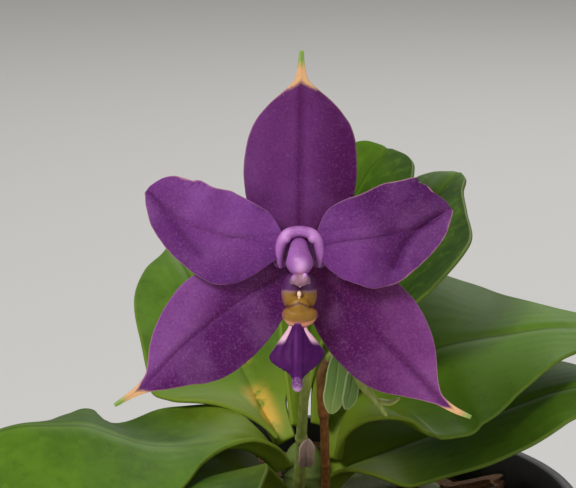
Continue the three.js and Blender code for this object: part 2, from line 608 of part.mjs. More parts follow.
// Column, arched forward over the lip, with a raised horseshoe collar round its foot
const collar = stalk([
  [-3.2, -0.6, 2.3], [-3.5, 1.4, 2.6], [-3.1, 3.6, 2.8], [-1.9, 5.2, 2.9], [0, 5.75, 2.9],
  [1.9, 5.2, 2.9], [3.1, 3.6, 2.8],
  [3.5, 1.4, 2.6], [3.2, -0.6, 2.3],
], [[0, 0.35], [0.15, 0.85], [0.5, 0.95], [0.85, 0.85], [1, 0.35]], 7);
place(bloom, 'column', fuse([
  lump([3.0, 3.3, 1.7], [0, 2.4, 1.5]),
  collar,
  stalk([
    [0, 3.2, 1.2], [0, 3.4, 3.6], [0, 2.2, 5.6], [0, 0.6, 6.7], [0, -0.7, 6.95],
  ], [[0, 2.7], [0.4, 2.4], [0.8, 2.2], [1, 1.6]], 12),
]), LILAC);
place(bloom, 'anther_cap', lump([1.7, 1.1, 1.3], [0, -2.4, 7.0], [15, 0, 0], [10, 7]), CAP_LILAC);

// Lip: two upright side lobes that meet in front, a tooth between them, the saddle below, and the keeled
// middle lobe with its fleshy knob
const SIDE_LOBE = [1.55, 3.6, 2.1];
const sideLobe = (side) => lump(SIDE_LOBE, [side * 1.5, -4.9, 4.0], [18, side * -12, side * 7], [10, 8]);
const middleLobe = blade({
  spine: [[-0.2, -9.6, 5.2], [-0.3, -11.8, 6.8], [-0.35, -14.2, 8], [-0.4, -16.8, 8.8], [-0.5, -19, 9.2]],
  facing: [[0, [0, 0.35, 1]], [1, [0, 0.2, 1]]],
  left: [[0, 1.2], [1.6, 1.5], [4, 3.4], [6.6, 4.9], [8.4, 4], [10.2, 2.2], [10.8, 1.2]],
  lift: [[0, -30], [4, -22], [11, -12]],
  cup: [[0, 0], [11, -0.1]],
  rows: 8,
  cols: 3,
  thickness: [1.9, 0.8],
  broad: 9,
});
place(bloom, 'lip', fuse([
  sideLobe(-1),
  sideLobe(1),
  stalk([
    [0, -2.0, 1.6], [0, -3.6, 3.2], [0, -6.4, 4.2], [-0.1, -8.6, 4.8], [-0.2, -10.4, 6],
  ], [[0, 1], [0.3, 1.3], [0.7, 1.9], [1, 1.4]], 8),
  lump([3.0, 1.8, 2.1], [0, -8.8, 4.7], [0, 0, 0], [10, 7]),
  stalk([[0, -5.6, 4.4], [-0.1, -4.6, 5.8], [-0.15, -4.2, 6.5]], [[0, 0.9], [0.6, 0.7], [1, 0.4]], 6),
  middleLobe,
  lump([1.1, 1.2, 1.1], [-0.5, -19.9, 9.4], [0, 0, 0], [8, 6]),
]), LIP_PURPLE);

export default potted;
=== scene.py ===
import math

import bpy
import numpy as np
from mathutils import Euler, Matrix, Vector, noise


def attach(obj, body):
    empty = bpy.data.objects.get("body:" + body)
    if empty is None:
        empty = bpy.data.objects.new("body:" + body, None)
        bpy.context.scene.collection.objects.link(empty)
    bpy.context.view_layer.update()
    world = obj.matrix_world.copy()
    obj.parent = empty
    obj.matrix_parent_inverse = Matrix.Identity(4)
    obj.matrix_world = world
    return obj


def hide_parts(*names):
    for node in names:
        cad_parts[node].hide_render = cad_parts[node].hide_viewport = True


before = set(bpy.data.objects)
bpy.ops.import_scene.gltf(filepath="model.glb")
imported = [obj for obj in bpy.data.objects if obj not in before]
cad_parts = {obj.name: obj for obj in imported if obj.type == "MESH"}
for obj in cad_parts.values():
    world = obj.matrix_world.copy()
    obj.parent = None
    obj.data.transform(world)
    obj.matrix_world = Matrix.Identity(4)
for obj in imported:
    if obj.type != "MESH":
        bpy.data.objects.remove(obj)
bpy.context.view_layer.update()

# Nursery pot. One thin shell of black polypropylene, injection moulded: a tapered wall, a stiffening band
# below the rim, a flat floor with shallow mould rings, and drainage holes cut through it.
MM = 0.001
POT_HEIGHT = 92
POT_FOOT_RADIUS = 41
POT_RIM_RADIUS = 56
POT_WALL = 1.6
POT_FLOOR = 1.6
POT_AXIS = 0.4
POT_BAND_FOOT = 83
POT_BAND_RADIUS = 57.4
POT_SIDES = 160
POT_SMOOTHING = 32
DRAIN_HOLES = 5
DRAIN_HOLE_RADIUS = 4
DRAIN_RING_RADIUS = 27
DRILL_LENGTH = 6
DRILL_SIDES = 40


class Tone:
    """A shader value. Sums on it add Math nodes, and node() adds any other node."""

    def __init__(self, tree, socket=None):
        self.tree = tree
        self.socket = socket

    def node(self, kind, settings, sockets, output=0):
        made = self.tree.nodes.new("ShaderNode" + kind)
        for key, value in settings.items():
            setattr(made, key, value)
        for key, value in sockets.items():
            if isinstance(value, Tone):
                self.tree.links.new(value.socket, made.inputs[key])
            else:
                made.inputs[key].default_value = value
        return Tone(self.tree, made.outputs[output])

    def math(self, operation, *values):
        return self.node("Math", {"operation": operation}, dict(enumerate(values)))

    def __add__(self, other):
        return self.math("ADD", self, other)

    def __radd__(self, other):
        return self.math("ADD", other, self)

    def __sub__(self, other):
        return self.math("SUBTRACT", self, other)

    def __rsub__(self, other):
        return self.math("SUBTRACT", other, self)

    def __mul__(self, other):
        return self.math("MULTIPLY", self, other)

    def __rmul__(self, other):
        return self.math("MULTIPLY", other, self)

    def __abs__(self):
        return self.math("ABSOLUTE", self)

    def ease(self, low, high, start=0.0, end=1.0):
        """Goes smoothly from start to end as this value goes from low to high."""
        ends = {"Value": self, "From Min": low, "From Max": high, "To Min": start, "To Max": end}
        return self.node("MapRange", {"interpolation_type": "SMOOTHSTEP"}, ends)

    def fade(self, low, high):
        """Falls smoothly from 1 to 0 as this value goes from low to high."""
        return self.ease(low, high, 1.0, 0.0)

    def tint(self, factor, colour):
        """This colour, going over to another by factor."""
        settings = {"data_type": "RGBA", "clamp_factor": True}
        return self.node("Mix", settings, {0: factor, 6: self, 7: (*colour, 1)}, output=2)

    def colour(self, value):
        made = self.node("RGB", {}, {})
        made.socket.default_value = (*value, 1)
        return made

    def ramp(self, stops):
        """The colour that this value reads off a row of (place, colour)."""
        made = self.node("ValToRGB", {}, {0: self})
        elements = made.socket.node.color_ramp.elements
        while len(elements) < len(stops):
            elements.new(1.0)
        for element, (place, colour) in zip(elements, stops):
            element.position = place
            element.color = (*colour, 1)
        return made

    def speckle(self, scale, detail=3.0, rough=0.6):
        """Soft noise between 0 and 1 at this place, scale times to the metre."""
        sockets = {"Vector": self, "Scale": scale, "Detail": detail, "Roughness": rough}
        return self.node("TexNoise", {}, sockets)

    def cells(self, scale, output=0):
        return self.node("TexVoronoi", {}, {"Vector": self, "Scale": scale}, output)

    def own(self, name):
        """A number kept on the piece's mesh."""
        return self.node("Attribute", {"attribute_name": name}, {}, output=2)

    def split(self):
        outputs = self.node("SeparateXYZ", {}, {0: self}).socket.node.outputs
        return [Tone(self.tree, output) for output in outputs]

    def stretched(self, scale, turn=(0, 0, 0), shift=(0, 0, 0)):
        sockets = {"Vector": self, "Scale": scale, "Rotation": turn, "Location": shift}
        return self.node("Mapping", {}, sockets)


def finish(name, paint, relief, gloss, **fixed):
    """A material from paint(), which gives the colour, roughness and height of every point of a surface."""
    material = bpy.data.materials.new(name)
    material.use_nodes = True
    tree = material.node_tree
    shader = tree.nodes["Principled BSDF"]
    shader.inputs["Specular IOR Level"].default_value = gloss
    for socket, value in fixed.items():
        shader.inputs[socket.replace("_", " ")].default_value = value
    start = Tone(tree)
    place = start.node("TexCoord", {}, {}, output=3)
    colour, rough, height = paint(place)
    bump = start.node("Bump", {}, {"Strength": 1.0, "Distance": relief * MM, "Height": height})
    for tone, socket in ((colour, "Base Color"), (rough, "Roughness"), (bump, "Normal")):
        tree.links.new(tone.socket, shader.inputs[socket])
    return material


def name_piece(name, materials, node):
    """The piece just made: its name, its materials, and the solid that it stands for."""
    piece = bpy.context.object
    piece.name = name
    piece.data.name = name
    piece.data.materials.clear()
    for material in materials:
        piece.data.materials.append(material)
    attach(piece, "root")
    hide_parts(node)


def apply_all(piece):
    bpy.context.view_layer.objects.active = piece
    for modifier in list(piece.modifiers):
        bpy.ops.object.modifier_apply(modifier=modifier.name)


def raise_rings(rings, sides):
    """A turned shell: a small circle, extruded and widened from ring to ring, and closed at both ends."""
    bpy.ops.object.select_all(action="DESELECT")
    radius, height = rings[0]
    bpy.ops.mesh.primitive_circle_add(vertices=sides, radius=radius * MM, location=(0, 0, height * MM))
    bpy.ops.object.transform_apply(location=True)
    bpy.ops.object.mode_set(mode="EDIT")
    bpy.ops.mesh.select_all(action="SELECT")
    bpy.ops.mesh.edge_face_add()
    bpy.ops.mesh.select_mode(type="EDGE")
    bpy.ops.mesh.select_all(action="SELECT")
    for wider, higher in rings[1:]:
        rise = (0, 0, (higher - height) * MM)
        bpy.ops.mesh.extrude_edges_move(TRANSFORM_OT_translate={"value": rise})
        grow = wider / radius
        bpy.ops.transform.resize(value=(grow, grow, 1), center_override=(0, 0, higher * MM))
        radius, height = wider, higher
    bpy.ops.mesh.edge_face_add()
    bpy.ops.mesh.select_all(action="SELECT")
    bpy.ops.mesh.normals_make_consistent(inside=False)
    bpy.ops.object.mode_set(mode="OBJECT")


def round_at(reach, around, height):
    """A point this far from the pot's middle line."""
    return reach * math.cos(around), reach * math.sin(around), height


def pot_wall(height, inward=0.0):
    """The pot's radius at a height, this far inside its outer face."""
    return POT_FOOT_RADIUS + (POT_RIM_RADIUS - POT_FOOT_RADIUS) * height / POT_HEIGHT - inward


POT_RINGS = [(POT_AXIS, 0), (10, 0), (10.3, 0.3), (11.3, 0.3), (11.6, 0)]
POT_RINGS += [(34, 0), (34.3, 0.3), (35.3, 0.3), (35.6, 0), (39.4, 0), (40.3, 0.25), (40.9, 0.8)]
POT_RINGS += [(pot_wall(1.6), 1.6), (pot_wall(9), 9)]
for groove in (10, 12, 14):
    POT_RINGS += [(pot_wall(groove), groove), (pot_wall(groove, 0.25), groove + 0.3)]
    POT_RINGS += [(pot_wall(groove, 0.25), groove + 0.7), (pot_wall(groove + 1), groove + 1)]
POT_RINGS += [(pot_wall(40), 40), (pot_wall(81.9), 81.9), (pot_wall(82.5) + 0.3, 82.6)]
for inset, height in (
    (0.8, POT_BAND_FOOT), (0.3, POT_BAND_FOOT + 0.3), (0.2, POT_BAND_FOOT + 0.9), (0.05, 90.6), (0.15, 91.3),
    (0.6, 91.8), (1.1, POT_HEIGHT),
):
    POT_RINGS.append((POT_BAND_RADIUS - inset, height))
POT_RINGS += [(55.2, POT_HEIGHT), (54.7, 91.8), (54.4, 91.2), (pot_wall(80, POT_WALL), 80)]
POT_RINGS += [(pot_wall(40, POT_WALL), 40), (pot_wall(3, POT_WALL), 3), (37.9, POT_FLOOR)]
POT_RINGS += [(30, POT_FLOOR), (POT_AXIS, POT_FLOOR)]


def pot_paint(place):
    y, z = place.split()[1:]
    dust = place.speckle(95, 5.0, 0.65)
    runs = place.stretched((420, 420, 14)).speckle(1.0, 3.0, 0.5)
    scuffs = place.stretched((60, 60, 900)).speckle(1.0, 4.0, 0.7)
    grain = place.speckle(5200, 1.0, 0.5)
    seam = 1 - abs(y).ease(0.0, 0.00035)
    low = 1 - z.ease(0.0, 0.03)
    high = z.ease(0.074, 0.092)
    film = dust.ease(0.45, 0.75) * (0.25 + 0.6 * low + 0.5 * high) + runs.ease(0.56, 0.72) * 0.22
    colour = place.colour((0.017, 0.018, 0.019)).tint(film * 0.75, (0.115, 0.105, 0.088))
    colour = colour.tint(scuffs.ease(0.62, 0.74) * 0.35, (0.07, 0.07, 0.072))
    rough = 0.42 + film * 0.3 + scuffs.ease(0.6, 0.75) * 0.12
    height = grain * 0.3 + seam * 1.0 + dust * 0.15
    return colour, rough, height


raise_rings(POT_RINGS, POT_SIDES)
pot = bpy.context.object
bpy.ops.object.select_all(action="DESELECT")
for i in range(DRAIN_HOLES):
    centre = Vector(round_at(DRAIN_RING_RADIUS, 2 * math.pi * i / DRAIN_HOLES, POT_FLOOR / 2)) * MM
    bpy.ops.mesh.primitive_cylinder_add(
        vertices=DRILL_SIDES, radius=DRAIN_HOLE_RADIUS * MM, depth=DRILL_LENGTH * MM, location=centre
    )
    drill = bpy.context.object
    cut = pot.modifiers.new("drain", "BOOLEAN")
    cut.object = drill
    cut.solver = "EXACT"
    apply_all(pot)
    bpy.data.objects.remove(drill)
    bpy.ops.object.select_all(action="DESELECT")
bpy.context.view_layer.objects.active = pot
pot.select_set(True)
bpy.ops.object.shade_smooth_by_angle(angle=math.radians(POT_SMOOTHING))
black_plastic = finish("black_pot_plastic", pot_paint, relief=0.05, gloss=0.45)
name_piece("nursery_pot", [black_plastic], "pot")

# Potting bark. Chips of pine bark, broken by hand into slabs a centimetre or so long and heaped over a bed of
# the same bark and its crumbs. Each chip splits along its grain, so its faces step and its ends are ragged.
BARK_TOP = 85
BARK_MOUND = 2.6
BARK_SLOPE = 60
BED_FOOT = 1.9
BED_REACH = 51.5
BED_STEPS = 30
BED_SIDES = 130
BED_CRUMBLE = 1.5
CHIP_RINGS = [(5, 11), (9, 22), (13, 33), (17, 43.5)]
CHIP_SIZE = (14, 9, 6)
CHIP_CUTS = 7
CHIP_ROUNDING = 0.1
CHIP_SMOOTHING = 40
CORNERS = [(1, 1, 1), (1, -1, 1), (1, 1, -1), (1, -1, -1), (-1, 1, -1), (-1, -1, -1), (-1, 1, 1), (-1, -1, 1)]
CRUMBS = 210
CRUMB_CUTS = 2
CRUMB_REACH = 51
TONE_STEP = 0.618
DRAW_LIMIT = 2**32


def draws(seed):
    """A seeded run of numbers: each call gives the next one, between low and high."""
    state = [seed]

    def draw(low, high):
        state[0] = (state[0] * 1664525 + 1013904223) % DRAW_LIMIT
        return low + (high - low) * state[0] / DRAW_LIMIT

    return draw


def points_of(piece):
    flat = np.empty(len(piece.data.vertices) * 3)
    piece.data.vertices.foreach_get("co", flat)
    return flat.reshape(-1, 3)


def set_points(piece, points):
    piece.data.vertices.foreach_set("co", np.ascontiguousarray(points, float).ravel())
    piece.data.update()


def keep_number(piece, name, values):
    """Values that the material reads, one for each vertex."""
    kept = piece.data.attributes.new(name, "FLOAT", "POINT")
    kept.data.foreach_set("value", np.ascontiguousarray(values, float))


def join_pieces(pieces):
    bpy.ops.object.select_all(action="DESELECT")
    for piece in pieces:
        piece.select_set(True)
    bpy.context.view_layer.objects.active = pieces[0]
    bpy.ops.object.join()


def chip_grain(p, seed):
    """How far a point of a chip's unit block sinks or stands out: steps along the grain, and ragged ends."""
    out = np.empty(len(p))
    for k, (x, y, z) in enumerate(p):
        ply = noise.noise(Vector((x * 1.6 + seed, y * 2.2, z * 9)))
        rag = noise.noise(Vector((x * 5, y * 11 + seed, z * 13)))
        out[k] = 0.055 * round(ply * 3.2) + 0.05 * rag
    return out


def heap(reach):
    """The height of the heaped bark, this far from the pot's middle."""
    return BARK_TOP + BARK_MOUND * (1 - reach / BARK_SLOPE)


def make_chip(size, jitter, turn, at, seed, cuts):
    """A block of size, its corners pulled by jitter, its faces stepped along the grain, turned and laid."""
    bpy.ops.object.select_all(action="DESELECT")
    bpy.ops.mesh.primitive_cube_add(size=1)
    bpy.ops.object.mode_set(mode="EDIT")
    bpy.ops.mesh.subdivide(number_cuts=cuts)
    bpy.ops.object.mode_set(mode="OBJECT")
    chip = bpy.context.object
    p = points_of(chip)
    sides = p * 2
    length = np.abs(sides).max(axis=1, keepdims=True)
    round_off = sides / np.linalg.norm(sides, axis=1, keepdims=True) * length
    block = 0.5 * ((1 - CHIP_ROUNDING) * sides + CHIP_ROUNDING * round_off)
    grown = block * (1 + chip_grain(block, seed))[:, None]
    pull = np.zeros_like(p)
    for corner, factor in zip(CORNERS, jitter):
        share = np.prod(0.5 + block * np.array(corner), axis=1, keepdims=True)
        pull += share * np.array(factor)
    shaped = grown * pull * np.array(size)
    turned = np.array(Euler(turn).to_matrix())
    set_points(chip, (shaped @ turned.T + np.array(at)) * MM)
    keep_number(chip, "chip_tone", np.full(len(p), seed % 1.0))
    return chip


BARK_COLOURS = [
    (0.0, (0.03, 0.016, 0.009)), (0.3, (0.085, 0.038, 0.017)), (0.6, (0.16, 0.066, 0.026)),
    (0.85, (0.27, 0.13, 0.058)), (1.0, (0.2, 0.15, 0.1)),
]


def bark_paint(place):
    tone = place.own("chip_tone")
    plies = place.stretched((240, 240, 900)).speckle(1.0, 5.0, 0.65)
    fibre = place.stretched((500, 2200, 900)).speckle(1.0)
    pores = place.speckle(1500, 3.0, 0.7)
    colour = (tone * 0.72 + plies.ease(0.25, 0.75) * 0.34).ramp(BARK_COLOURS)
    colour = colour.tint(fibre.ease(0.5, 0.75) * 0.45, (0.33, 0.19, 0.1))
    colour = colour.tint(pores.ease(0.55, 0.3) * 0.6, (0.014, 0.009, 0.006))
    rough = 0.95 - plies * 0.18
    height = plies * 0.9 + fibre * 0.5 + pores * 0.35
    return colour, rough, height


bed_rings = [(POT_AXIS, BED_FOOT), (pot_wall(4, 2.5), BED_FOOT), (pot_wall(30, 2.3), 30)]
bed_rings += [(pot_wall(60, 2.3), 60), (pot_wall(BARK_TOP, 2.8), BARK_TOP - 3)]
for step in range(BED_STEPS + 1):
    reach = BED_REACH * (1 - step / BED_STEPS) + POT_AXIS
    bed_rings.append((reach, heap(reach) - 2.4))
raise_rings(bed_rings, BED_SIDES)
bed = bpy.context.object
bed_points = points_of(bed)
for point in bed_points:
    if point[2] > (BARK_TOP - 4) * MM:
        crumb = noise.fractal(Vector(point) * 330, 0.6, 2.1, 4)
        point[2] += BED_CRUMBLE * MM * crumb
set_points(bed, bed_points)
keep_number(bed, "chip_tone", np.full(len(bed_points), 0.1))
bpy.ops.object.shade_smooth()
pine_bark = finish("pine_bark", bark_paint, relief=0.5, gloss=0.3)
name_piece("bark_bed", [pine_bark], "bark")

draw = draws(41)
chips = []
for count, ring in CHIP_RINGS:
    for i in range(count):
        size = [side * draw(0.75, 1.15) for side in CHIP_SIZE]
        jitter = [(draw(0.8, 1.05), draw(0.7, 1.1), draw(0.75, 1.1)) for _ in CORNERS]
        turn = (draw(-0.45, 0.45), draw(-0.35, 0.35), draw(0, math.pi))
        around = 2 * math.pi * (i + draw(-0.2, 0.2)) / count + ring
        reach = ring + draw(-1.2, 1.2)
        at = round_at(reach, around, heap(reach) + draw(-0.8, 0.7))
        chips.append(make_chip(size, jitter, turn, at, TONE_STEP * len(chips) + 0.13, CHIP_CUTS))
draw = draws(7)
for i in range(CRUMBS):
    reach = CRUMB_REACH * math.sqrt(draw(0.01, 1))
    around = draw(0, 2 * math.pi)
    size = [draw(1.6, 4.6), draw(1.2, 3.0), draw(0.8, 1.8)]
    turn = (draw(-0.6, 0.6), draw(-0.6, 0.6), draw(0, math.pi))
    at = round_at(reach, around, heap(reach) + draw(-1.5, 1.2))
    jitter = [(draw(0.6, 1.1), draw(0.6, 1.1), draw(0.6, 1.1)) for _ in CORNERS]
    chips.append(make_chip(size, jitter, turn, at, TONE_STEP * i + 0.37, CRUMB_CUTS))
join_pieces(chips)
bpy.ops.object.shade_smooth_by_angle(angle=math.radians(CHIP_SMOOTHING))
name_piece("bark_chips", [pine_bark], "bark")

# Stem and roots. The plant's short upright axis, ringed by the scars of shed leaves, and the thick air roots
# that leave it below the leaves, run over the bark and dive into it, in a skin of silvery grey velamen.
CROWN = (3, 2)
STEM_FOOT = 74
CROWN_TOP = 103
STEM_RADII = [(0, 2.6), (0.25, 3.6), (0.55, 4), (0.8, 4), (1, 2.6)]
ROOT_RADII = [(0, 2.3), (0.5, 2.1), (1, 1.6)]
STALK_MARKS = 400
STALK_BUNCHING = 0.85
LINE_STEP = 0.2
SEAM_GAP = 1e-6
SCARS = (84.5, 87.6, 90.4, 93.4, 96.2)
ROOTS = [
    [[4, -1, 88], [8, -10, 90.5], [13, -19, 89.5], [17, -28, 84], [19, -33, 76]],
    [[2, -1, 87.5], [-6, -9, 91], [-16, -15, 90.5], [-26, -18, 86], [-32, -20, 77]],
    [[2, 5, 87], [-4, 14, 90.5], [-12, 23, 90], [-18, 31, 84], [-21, 35, 76]],
    [[5, 4, 87], [12, 12, 90.5], [22, 18, 90], [31, 21, 85], [36, 23, 76]],
    [[6, 0, 86.5], [15, -4, 90.5], [26, -6, 90], [35, -10, 85.5], [40, -12, 77]],
]


def ink(red, green, blue):
    """A colour read on the usual 0 to 255 scale, for a shader."""
    return tuple(((c / 255 + 0.055) / 1.055) ** 2.4 if c > 10 else c / 3294.6 for c in (red, green, blue))


def painted(place, ground, coats):
    """A ground colour under coats of (strength, colour), with the colours on the 0 to 255 scale."""
    colour = place.colour(ink(*ground))
    for strength, coat in coats:
        colour = colour.tint(strength, ink(*coat))
    return colour


def along(points, d):
    """Smooth values at the distances d, through points of (distance, value), with no overshoot."""
    x, y = np.array(points, float).T
    slope = np.diff(y) / np.diff(x)
    product = slope[:-1] * slope[1:]
    total = np.where(product > 0, slope[:-1] + slope[1:], 1)
    tangent = np.concatenate([slope[:1], np.where(product > 0, 2 * product / total, 0), slope[-1:]])
    i = np.clip(np.searchsorted(x, d) - 1, 0, len(slope) - 1)
    h = x[i + 1] - x[i]
    u = np.clip((d - x[i]) / h, 0, 1)
    start = (2 * u**3 - 3 * u**2 + 1) * y[i] + (u**3 - 2 * u**2 + u) * h * tangent[i]
    return start + (3 * u**2 - 2 * u**3) * y[i + 1] + (u**3 - u**2) * h * tangent[i + 1]


def unit(vectors):
    return vectors / np.linalg.norm(vectors, axis=-1, keepdims=True)


class Midline:
    """A smooth line through points, read by the distance along it in millimetres."""

    def __init__(self, spine):
        self.points = np.array(spine, float)
        gaps = np.linalg.norm(np.diff(self.points, axis=0), axis=1)
        self.marks = np.concatenate([[0], np.cumsum(gaps)])
        self.length = self.marks[-1]

    def at(self, d):
        return np.stack([along(np.stack([self.marks, self.points[:, k]], 1), d) for k in range(3)], axis=-1)

    def forward(self, d):
        ahead = self.at(np.minimum(d + LINE_STEP, self.length))
        return unit(ahead - self.at(np.maximum(d - LINE_STEP, 0)))


def smooth_join(piece):
    """Closes a rolled sheet's seam and its ends, and turns its faces outwards."""
    bpy.context.view_layer.objects.active = piece
    bpy.ops.object.mode_set(mode="EDIT")
    bpy.ops.mesh.select_all(action="SELECT")
    bpy.ops.mesh.remove_doubles(threshold=SEAM_GAP)
    bpy.ops.mesh.normals_make_consistent(inside=False)
    bpy.ops.object.mode_set(mode="OBJECT")
    bpy.ops.object.shade_smooth()


def draw_stalk(spine, radii, sides, rows, depth=1.0, swell=None):
    """A stalk or root: a grid rolled round a midline, with rounded ends, flattened where depth is below 1."""
    bpy.ops.object.select_all(action="DESELECT")
    bpy.ops.mesh.primitive_grid_add(x_subdivisions=sides, y_subdivisions=rows, size=1)
    stalk = bpy.context.object
    flat = points_of(stalk)
    turn = 2 * np.pi * (flat[:, 0] + 0.5)
    share = flat[:, 1] + 0.5
    share = share - STALK_BUNCHING * np.sin(2 * np.pi * share) / (2 * np.pi)
    line = Midline(spine)
    d = share * line.length
    marks = np.linspace(0, line.length, STALK_MARKS)
    across = np.empty((STALK_MARKS, 3))
    side = np.array([1.0, 0, 0])
    for k, forward in enumerate(line.forward(marks)):
        side = side - forward * forward.dot(side)
        side = side / np.linalg.norm(side)
        across[k] = side
    side = unit(np.stack([np.interp(d, marks, across[:, k]) for k in range(3)], axis=-1))
    out = np.cross(side, line.forward(d))
    radius = along([(share_at * line.length, r) for share_at, r in radii], d)
    if swell:
        radius = radius * (1 + swell(d, turn))
    end = np.minimum(d, line.length - d) / np.maximum(radius, 1e-6)
    radius = radius * np.sqrt(np.clip(1 - (1 - np.clip(end, 0, 1)) ** 2, 0, 1))
    p = line.at(d) + side * (np.cos(turn) * radius)[:, None] - out * (np.sin(turn) * radius * depth)[:, None]
    set_points(stalk, p * MM)
    keep_number(stalk, "reach", d)
    smooth_join(stalk)
    return stalk


def root_skin(d, turn):
    knots = 0.05 * np.sin(d * 0.55) + 0.03 * np.sin(d * 1.7 + 2 * np.cos(turn))
    return knots + 0.02 * np.cos(3 * turn + d * 0.4)


def stem_skin(d, turn):
    rings = sum(np.exp(-(((d + STEM_FOOT - scar - 0.5 * np.cos(turn + scar)) / 0.35) ** 2)) for scar in SCARS)
    return 0.11 * rings + 0.02 * np.sin(5 * turn + d * 0.6)


def root_paint(place):
    z = place.split()[2]
    grain = place.speckle(2600)
    patches = place.speckle(210, 4.0)
    streaks = place.stretched((500, 500, 2600)).speckle(1.0, 3.0, 0.5)
    colour = painted(place, (172, 178, 148), [
        (patches.ease(0.42, 0.7) * 0.75, (128, 142, 92)),
        (streaks.ease(0.55, 0.75) * 0.4, (206, 204, 182)),
        (patches.ease(0.42, 0.3) * 0.45, (134, 112, 78)),
        (z.ease(0.089, 0.094) * 0.9, (92, 112, 34)),
        (z.ease(0.086, 0.081) * 0.6, (112, 88, 58)),
    ])
    rough = 0.68 + grain * 0.2
    height = grain * 0.5 + streaks * 0.5 + patches * 0.4
    return colour, rough, height


stem_spine = [[*CROWN, height] for height in (STEM_FOOT, 88, CROWN_TOP)]
stem = draw_stalk(stem_spine, STEM_RADII, sides=40, rows=90, swell=stem_skin)
roots = [draw_stalk(points, ROOT_RADII, sides=22, rows=90, swell=root_skin) for points in ROOTS]
join_pieces([stem] + roots)
velamen = finish("velamen", root_paint, relief=0.12, gloss=0.3)
name_piece("stem_and_air_roots", [velamen], "stem_and_roots")

